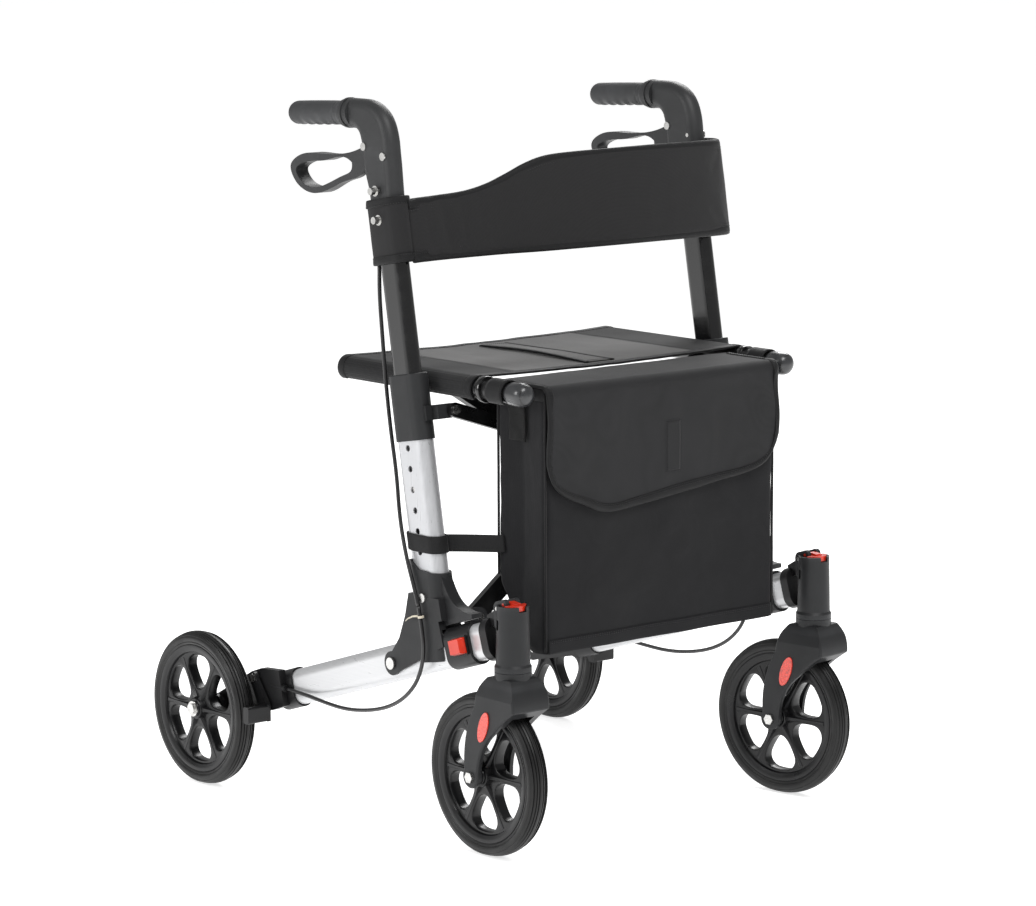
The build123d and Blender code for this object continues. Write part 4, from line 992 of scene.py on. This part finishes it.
def build_seat():
    sling = thick_sheet("seat_sling", seat_surface, SEAT_COLUMNS, SEAT_ROWS, 0.9 * MM, SEAT_CLOTH, None,
                        ["seat_panel_right", "seat_panel_left"])
    sling.data.materials.append(SEAT_MESH)
    for polygon in sling.data.polygons:
        if abs(polygon.center.x) > 0.148:
            polygon.material_index = 1
    parts = []
    for label, v, sign in (("front", 0.0, 1), ("back", 1.0, -1)):
        path = []
        for u in spread(0, 1, SEAT_COLUMNS):
            point, normal = seat_surface(u, v)
            path.append((point, Vector((0, sign, 0)), normal))
        parts.append(tape(f"seat_binding_{label}", path, 11 * MM, 1.7 * MM, None))
        for inset in (3.5, 8.5):
            row = [(point + inward * inset * MM + normal * 1.75 * MM, normal)
                   for point, inward, normal in path]
            parts.append(stitches(f"seat_stitch_{label}_{round(inset)}", row[30:-30], 3.6 * MM, None))
    for s in (-1, 1):
        for inset in (144, 150):
            row = []
            for v in spread(0.02, 0.98, 50):
                u = min(range(SEAT_COLUMNS), key=lambda k: abs(SECTION[k][0] - s * inset)
                        + (100 if SECTION[k][3] < 0.9 else 0)) / (SEAT_COLUMNS - 1)
                point, normal = seat_surface(u, v)
                row.append((point + normal * 1.0 * MM, normal))
            parts.append(stitches(f"seat_seam_{'left' if s > 0 else 'right'}_{inset}", row, 3.6 * MM, None))

    # lifting strap sewn down at both ends over the middle
    def strap(u, v):
        x = -24 + 44 * u
        y = -186 + 208 * v
        share = (y - SEAT_FRONT_Y) / (SEAT_BACK_Y - SEAT_FRONT_Y)
        base, normal = seat_surface(0.5 + x / SECTION_LENGTH, share)
        arch = 1.6 + 3.0 * math.sin(math.pi * v) ** 0.6 * (0.55 + 0.45 * math.cos(math.pi * u))
        return Vector((base.x, y * MM, base.z)) + normal * arch * MM, normal

    band = thick_sheet("seat_lift_strap", strap, 15, 81, 0.7 * MM, SEAT_CLOTH, None)
    parts.append(band)
    for label, u_edge, sign in (("right", 0.0, 1), ("left", 1.0, -1)):
        path = []
        for v in spread(0, 1, 60):
            point, normal = strap(u_edge, v)
            path.append((point, Vector((sign, 0, 0)), normal))
        parts.append(tape(f"seat_strap_edge_{label}", path, 5 * MM, 1.3 * MM, None))
    for label, v in (("front", 0.03), ("back", 0.97)):
        row = []
        for u in spread(0.05, 0.95, 12):
            point, normal = strap(u, v)
            row.append((point + normal * 0.9 * MM, normal))
        parts.append(stitches(f"seat_strap_stitch_{label}", row, 3.4 * MM, None))
    for obj in [sling, *parts]:
        seat_blend(obj)
    for side, s in SIDES.items():
        middle = Vector((s * SEAT_X, 0, SEAT_Z)) * MM
        profile = [(0, -301), (5, -300.6), (9.4, -298.9), (12.6, -295.4), (14.2, -290.6), (14.5, -284),
                   (14.1, -276.5), (13.8, -270.5), (12.6, -268.6), (0, -268.6)]
        points, faces = lathe(in_metres(profile), middle, (0, 1, 0), 64)
        knob = piece(f"seat_knob_{side}", points, faces, KNOB, f"{side}_seat_side")
        sharpen(knob, 40)
        profile = [(12.6, -224.6), (15.7, -224.6), (16.2, -224.0), (16.2, -216.4), (15.7, -215.8),
                   (12.6, -215.8)]
        points, faces = lathe(in_metres(profile), middle, (0, 1, 0), 64)
        ring = piece(f"seat_ring_{side}", points, faces, BLACK_TUBE, f"{side}_seat_side")
        sharpen(ring, 40)


# ---- bag ---------------------------------------------------------------------------------------------
BAG_X, BAG_FRONT, BAG_BACK, BAG_TOP = 187.0, -300.0, -209.0, 562.0
BAG_FOOT = [(-300, 243), (-268, 247), (-238, 285), (-209, 330)]


LOOP_FRONT, LOOP_WIDE = -236.5, 29


def between(stops, u):
    """The stops' values, a share u of the way along them."""
    position = u * (len(stops) - 1)
    index = min(int(position), len(stops) - 2)
    share = position - index
    return [a + (b - a) * share for a, b in zip(stops[index], stops[index + 1])]


def hang_on_bag(obj, body):
    """The bag and what is sewn to it ride on the given body, each with a mesh of its own."""
    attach(obj, body)
    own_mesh(obj)


def bag_foot(y):
    return through(BAG_FOOT, y)


def bag_loop(inset, count_long=64, count_short=24, corner=9.0):
    """Points round the bag seen from above, with an outward direction; millimetres."""
    half_x, half_y = BAG_X - inset, (BAG_BACK - BAG_FRONT) / 2 - inset
    middle_y = (BAG_BACK + BAG_FRONT) / 2
    loop = []
    for x_sign, y_sign, start in ((1, -1, -90), (1, 1, 0), (-1, 1, 90), (-1, -1, 180)):
        centre = (x_sign * (half_x - corner), middle_y + y_sign * (half_y - corner))
        for step in range(7):
            angle = math.radians(start + 90 * step / 6)
            loop.append((centre[0] + corner * math.cos(angle), centre[1] + corner * math.sin(angle),
                         math.cos(angle), math.sin(angle)))
        next_count = count_short if start in (-90, 90) else count_long
        target = {-90: (half_x, middle_y + half_y - corner), 0: (-half_x + corner, middle_y + half_y),
                  90: (-half_x, middle_y - half_y + corner), 180: (half_x - corner, middle_y - half_y)}[start]
        last = loop[-1]
        for step in range(1, next_count):
            share = step / next_count
            loop.append((last[0] + (target[0] - last[0]) * share, last[1] + (target[1] - last[1]) * share,
                         last[2], last[3]))
    return loop


def bag_sag(x, y, z, out_x, out_y):
    """How far the cloth stands out from the flat panels, in millimetres."""
    rise = (z - 243) / (BAG_TOP - 243)
    slack = math.sin(math.pi * min(1, max(0, rise))) ** 0.6
    if abs(out_x) > 0.7:
        depth = (y - (BAG_FRONT + BAG_BACK) / 2) / 45
        fold = -9.0 * max(0.0, 1 - abs(depth - 0.1)) ** 1.3
        return slack * (fold + 1.6 * crease(y, z, 0, 34, 3.1 + out_x)) + 0.5 * crease(y, z, 0, 12, 9.2)
    billow = 1.8 * math.cos(math.pi * x / 2 / BAG_X)
    pulls = 1.3 * math.sin(x / 19 + 0.8 * crease(x, z, 0, 60, 2.0)) * max(0.0, 0.42 - rise) * 1.6
    crumple = 2.6 * crease(x, z, 0, 75, 6.4 + out_y)
    return slack * (billow + crumple + 1.0 * crease(x * 0.8, z, 0, 26, 1.4)) + pulls


def bag_ring(inset, t, wall):
    ring = []
    for x, y, out_x, out_y in bag_loop(inset):
        low = bag_foot(min(max(y, BAG_FRONT), BAG_BACK)) + wall
        z = low + (BAG_TOP - low) * t
        move = bag_sag(x, y, z, out_x, out_y)
        ring.append(Vector((x + out_x * move, y + out_y * move, z)) * MM)
    return ring


def build_bag():
    levels = 44
    rings = []
    middle = Vector((0, (BAG_FRONT + BAG_BACK) / 2, 0))
    for inset, wall, order in ((0.0, 0.0, 1), (2.4, 2.4, -1)):
        floor = []
        base = bag_loop(inset)
        for share in (0.02, 0.35, 0.7, 0.92):
            ring = []
            for x, y, _, _ in base:
                px, py = x * share, middle.y + (y - middle.y) * share
                droop = 3.0 * (1 - share) * (1 if wall == 0 else 0.9)
                if wall == 0 and py < -262:
                    droop = 0.0
                ring.append(Vector((px, py, bag_foot(py) + wall - droop + 0.2)) * MM)
            floor.append(ring)
        walls = [bag_ring(inset, k / (levels - 1), wall) for k in range(levels)]
        shell = floor + walls
        rings += shell if order == 1 else list(reversed(shell))
    points = [point for ring in rings for point in ring]
    faces = tube_faces(len(rings[0]), len(rings), around=True)
    parts = [piece("bag_shell", points, faces, BAG_CLOTH, None, ["bag"])]

    # bound rim, piped corners and the hem band
    rim = []
    outer = bag_loop(1.2)
    for x, y, out_x, out_y in outer:
        outward = Vector((out_x, out_y, 0)).normalized()
        rim.append((Vector((x, y, BAG_TOP + 0.6)) * MM, Vector((0, 0, -1)), outward))
    parts.append(tape("bag_rim_binding", rim, 12 * MM, 2.4 * MM, None, closed=True))
    for label, inset_y in (("upper", 15.5), ("lower", 13.5)):
        row = []
        for x in spread(-BAG_X + 8, BAG_X - 8, 120):
            z = BAG_FOOT[0][1] + inset_y
            move = bag_sag(x, BAG_FRONT, z, 0, -1)
            row.append((Vector((x, BAG_FRONT - move - 1.2, z)) * MM, Vector((0, -1, 0))))
        parts.append(stitches(f"bag_hem_stitch_{label}", row, 3.6 * MM, None))

    def hem(u, v):
        x = -BAG_X + 4 + (2 * BAG_X - 8) * u
        z = BAG_FOOT[0][1] + 0.6 + 16.5 * v
        move = bag_sag(x, BAG_FRONT, z, 0, -1)
        return Vector((x, BAG_FRONT - move - 0.2, z)) * MM, Vector((0, -1, 0))

    parts.append(thick_sheet("bag_hem", hem, 121, 9, 0.9 * MM, BAG_CLOTH, None))
    for s in (-1, 1):
        for place, y, outward in (("front", BAG_FRONT + 1.4, -1), ("back", BAG_BACK - 1.4, 1)):
            path = []
            for t in spread(0.01, 0.99, 60):
                z = bag_foot(y) + (BAG_TOP - bag_foot(y)) * t
                move = 0.5 * bag_sag(s * 185, y, z, 0, outward)
                out = Vector((s * 0.7, outward * 0.7, 0))
                path.append((Vector((s * (BAG_X - 1.5), y + outward * move * 0.4, z)) * MM, out))
            points = []
            for point, out in path:
                aside = Vector((out.y, -out.x, 0))
                points += [point + (out * math.cos(a) + aside * math.sin(a)) * 1.7 * MM
                           for a in (math.tau * k / 8 for k in range(8))]
            parts.append(piece(f"bag_piping_{place}_{'left' if s > 0 else 'right'}", points,
                               tube_faces(8, len(path), around=True), BINDING, None))

    # loops over the seat tubes, with a hook-and-loop tail down the side of the bag
    for side, s in SIDES.items():
        route = []
        for step in range(37):
            angle = math.radians(-60 + 300 * step / 36)
            route.append((SEAT_X + 14.9 * math.cos(angle), SEAT_Z + 14.9 * math.sin(angle),
                          math.cos(angle), math.sin(angle)))
        tail = [(SEAT_X - 17.0, SEAT_Z - 15.6), (SEAT_X - 21.2, SEAT_Z - 19.5), (SEAT_X - 22.8, SEAT_Z - 28),
                (SEAT_X - 23.2, SEAT_Z - 44), (SEAT_X - 23.0, SEAT_Z - 61)]

        def loop_surface(u, v):
            x, z, nx, nz = between(route, u)
            return Vector((s * x, LOOP_FRONT - LOOP_WIDE * v, z)) * MM, Vector((s * nx, 0, nz)).normalized()

        parts.append(thick_sheet(f"bag_loop_{side}", loop_surface, 73, 9, 1.0 * MM, BINDING, None))

        def tail_surface(u, v):
            x, z = between(tail, u)
            lift = 1.2 * crease(z, v * 20, 0, 25, 4.0 + s)
            spot = Vector((s * (x + lift * 0.5), LOOP_FRONT - LOOP_WIDE * v, z)) * MM
            return spot, Vector((s, 0, 0.15)).normalized()

        parts.append(thick_sheet(f"bag_loop_tail_{side}", tail_surface, 33, 9, 1.3 * MM, VELCRO, None))
        for edge in (0.08, 0.92):
            row = []
            for u in spread(0.35, 0.97, 24):
                point, normal = tail_surface(u, edge)
                row.append((point + normal * 1.4 * MM, normal))
            parts.append(stitches(f"bag_loop_stitch_{side}_{round(edge * 100)}", row, 3.2 * MM, None))
    for obj in parts:
        hang_on_bag(obj, "bag")


# ---- flap --------------------------------------------------------------------------------------------
FLAP_HALF = 186.5
FLAP_LOW = [(-187, 474), (-182, 455), (-170, 441), (-152, 431), (-129, 422), (-108, 413), (-89, 410),
            (-66, 411), (-30, 415), (30, 422), (90, 429), (132, 434), (158, 441), (175, 453), (184, 466),
            (187, 478)]
FLAP_ROUND = 11.0
FLAP_DEEP = 92.0
FLAP_BACK, FLAP_TOP = -211, 566.6


def flap_drop(x):
    return FLAP_DEEP + FLAP_ROUND * (math.pi / 2 - 1) + 566.5 - FLAP_ROUND - through(FLAP_LOW, x)


def flap_surface(u, v):
    x = -FLAP_HALF + 2 * FLAP_HALF * u
    travelled = flap_drop(x) * v
    level = FLAP_DEEP - FLAP_ROUND
    if travelled < level:
        y, z, normal = FLAP_BACK - travelled, FLAP_TOP, Vector((0, 0, 1))
    elif travelled < level + FLAP_ROUND * math.pi / 2:
        angle = (travelled - level) / FLAP_ROUND
        y = FLAP_BACK - level - FLAP_ROUND * math.sin(angle)
        z = FLAP_TOP - FLAP_ROUND * (1 - math.cos(angle))
        normal = Vector((0, -math.sin(angle), math.cos(angle)))
    else:
        y = FLAP_BACK - FLAP_DEEP
        z = FLAP_TOP - FLAP_ROUND - (travelled - level - FLAP_ROUND * math.pi / 2)
        normal = Vector((0, -1, 0))
    front = -normal.y
    lean = 1.2 * crease(x, z, 0, 90, 8.8) + 0.9 * crease(x, z * 0.7, 0, 38, 3.7)
    corner = max(0.0, (abs(x) - 110) / 77)
    tug = corner * 1.6 * math.sin((x * 0.5 + z) / 13)
    stand = 2.2 + front * (1.2 + lean + tug) + (1 - front) * (1.0 * crease(x, y, 0, 60, 7.1) - 1.2)
    return Vector((x, y, z)) * MM + normal * stand * MM, normal


def build_flap():
    columns, rows = 141, 97
    flap = thick_sheet("flap_panel", flap_surface, columns, rows, 0.9 * MM, FLAP_CLOTH, None,
                       ["bag_flap"])
    grid = [flap_surface(u, v)[0] for u in spread(0, 1, columns) for v in spread(0, 1, rows)]
    parts = [flap]
    edge = []
    rim = ([(0.0, v) for v in spread(0.04, 0.96, 60)] + [(u, 1.0) for u in spread(0.0, 1.0, 141)]
           + [(1.0, v) for v in spread(0.96, 0.04, 60)])
    for u, v in rim:
        point, normal = flap_surface(u, v)
        toward = flap_surface(0.5 + (u - 0.5) * 0.94, min(v, 1.0) * 0.95 + 0.02)[0]
        inward = (toward - point)
        inward = (inward - normal * inward.dot(normal)).normalized()
        edge.append((point, inward, normal))
    smooth = []
    for index, (point, inward, normal) in enumerate(edge):
        near = edge[max(0, index - 3):index + 4]
        smooth.append((point, sum((item[1] for item in near), Vector()).normalized(), normal))
    parts.append(tape("flap_binding", smooth, 10 * MM, 2.1 * MM, None))
    for inset in (6.0, 8.6):
        row = [(point + inward * inset * MM + normal * 2.15 * MM, normal) for point, inward, normal in smooth]
        parts.append(stitches(f"flap_stitch_{round(inset)}", row, 3.4 * MM, None))

    def on_front(x, z):
        u = (x + FLAP_HALF) / 2 / FLAP_HALF
        level = FLAP_DEEP - FLAP_ROUND + FLAP_ROUND * math.pi / 2 + (FLAP_TOP - FLAP_ROUND - z)
        return flap_surface(u, level / flap_drop(x))

    corners = [(-1, 447), (24, 447), (24, 511), (-1, 511), (-1, 447)]
    for number, shrink in ((1, 0.0), (2, 2.2)):
        row = []
        for (x0, z0), (x1, z1) in zip(corners, corners[1:]):
            for share in spread(0, 1, 24):
                x, z = x0 + (x1 - x0) * share, z0 + (z1 - z0) * share
                x += shrink if x < 10 else -shrink
                z += shrink if z < 480 else -shrink
                point, normal = on_front(x, z)
                row.append((point + normal * 1.05 * MM, normal))
        parts.append(stitches(f"flap_patch_stitch_{number}", row, 3.0 * MM, None))

    def patch(u, v):
        point, normal = on_front(0.5 + 22 * u, 448.5 + 61 * v)
        return point + normal * 0.75 * MM, normal

    parts.append(thick_sheet("flap_patch", patch, 12, 30, 0.35 * MM, FLAP_CLOTH, None))
    for obj in parts:
        hang_on_bag(obj, "bag_flap")
    max(flap_drop(x) for x in spread(-187, 187, 100)) * MM


# ---- bag straps --------------------------------------------------------------------------------------
STRAP_LOW, STRAP_HIGH = 358.0, 379.0


def strap_piece(name, path, cyclic=False):
    """Webbing standing on edge along a plan path that follows the upright's lean; millimetres."""
    points = []
    count = len(path)
    for index, (x, y) in enumerate(path):
        after = path[(index + 1) % count] if cyclic or index < count - 1 else path[index]
        before = path[index - 1] if cyclic or index > 0 else path[index]
        along = Vector((after[0] - before[0], after[1] - before[1], 0)).normalized()
        out = Vector((along.y, -along.x, 0))
        for level, thick in ((0, 0.5), (0.06, 1.1), (0.5, 0.9), (0.94, 1.1), (1, 0.5)):
            z = STRAP_LOW + (STRAP_HIGH - STRAP_LOW) * level
            points.append(Vector((x, y + (z - STRAP_LOW) * LEAN, z)) * MM + out * thick * MM)
        for level, thick in ((1, 0.5), (0.94, 1.1), (0.5, 0.9), (0.06, 1.1), (0, 0.5)):
            z = STRAP_LOW + (STRAP_HIGH - STRAP_LOW) * level
            points.append(Vector((x, y + (z - STRAP_LOW) * LEAN, z)) * MM - out * thick * MM)
    return piece(name, points, tube_faces(10, count, cyclic), STRAP, None)


def build_straps():
    for side, s in SIDES.items():
        centre_y = axis_y(STRAP_LOW)
        ring = [(s * FRAME_X + b, centre_y + a) for a, b in slot_loop(29.2, 15.6, 72)]
        loop = strap_piece(f"bag_strap_loop_{side}", ring, cyclic=True)
        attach(loop, f"{side}_upright")
        start, end = Vector((s * 233.5, centre_y - 22.5)), Vector((s * 186.5, -224.0))
        path = []
        for share in spread(0, 1, 33):
            point = start.lerp(end, share)
            bow = 2.6 * math.sin(math.pi * share)
            path.append((point.x, point.y + bow))
        web = strap_piece(f"bag_strap_{side}", path)
        if side == "right":
            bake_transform(web)
        else:
            hang_on_bag(web, "bag")


def build_ties(side, s):
    """Nylon tie that holds the cable at the housing, with its cut tail."""
    profile = [(2.6, -1.5), (4.0, -1.5), (4.0, 1.5), (2.6, 1.5)]
    middle = Vector((s * 269, -162, 280)) * MM
    shapes = [lathe(in_metres(profile), middle, (0, 0.15, 1), 32)]
    tail = [Vector((s * 271.5, -159, 281)), Vector((s * 272, -150, 279.5)), Vector((s * 271, -139, 275)),
            Vector((s * 270, -133, 271))]
    points = []
    for index, point in enumerate(tail):
        wide = 1.3 - 0.2 * index
        points += [(point + Vector((0.45, 0, wide))) * MM, (point + Vector((0.45, 0, -wide))) * MM,
                   (point + Vector((-0.45, 0, -wide))) * MM, (point + Vector((-0.45, 0, wide))) * MM]
    shapes.append((points, tube_faces(4, len(tail))))
    points, faces = join_shapes(*shapes)
    piece(f"cable_tie_{side}", points, faces, TIE, f"{side}_upright")


for side, s in SIDES.items():
    build_grip(side, s)
    build_ties(side, s)
build_seat()
build_bag()
build_flap()
build_straps()
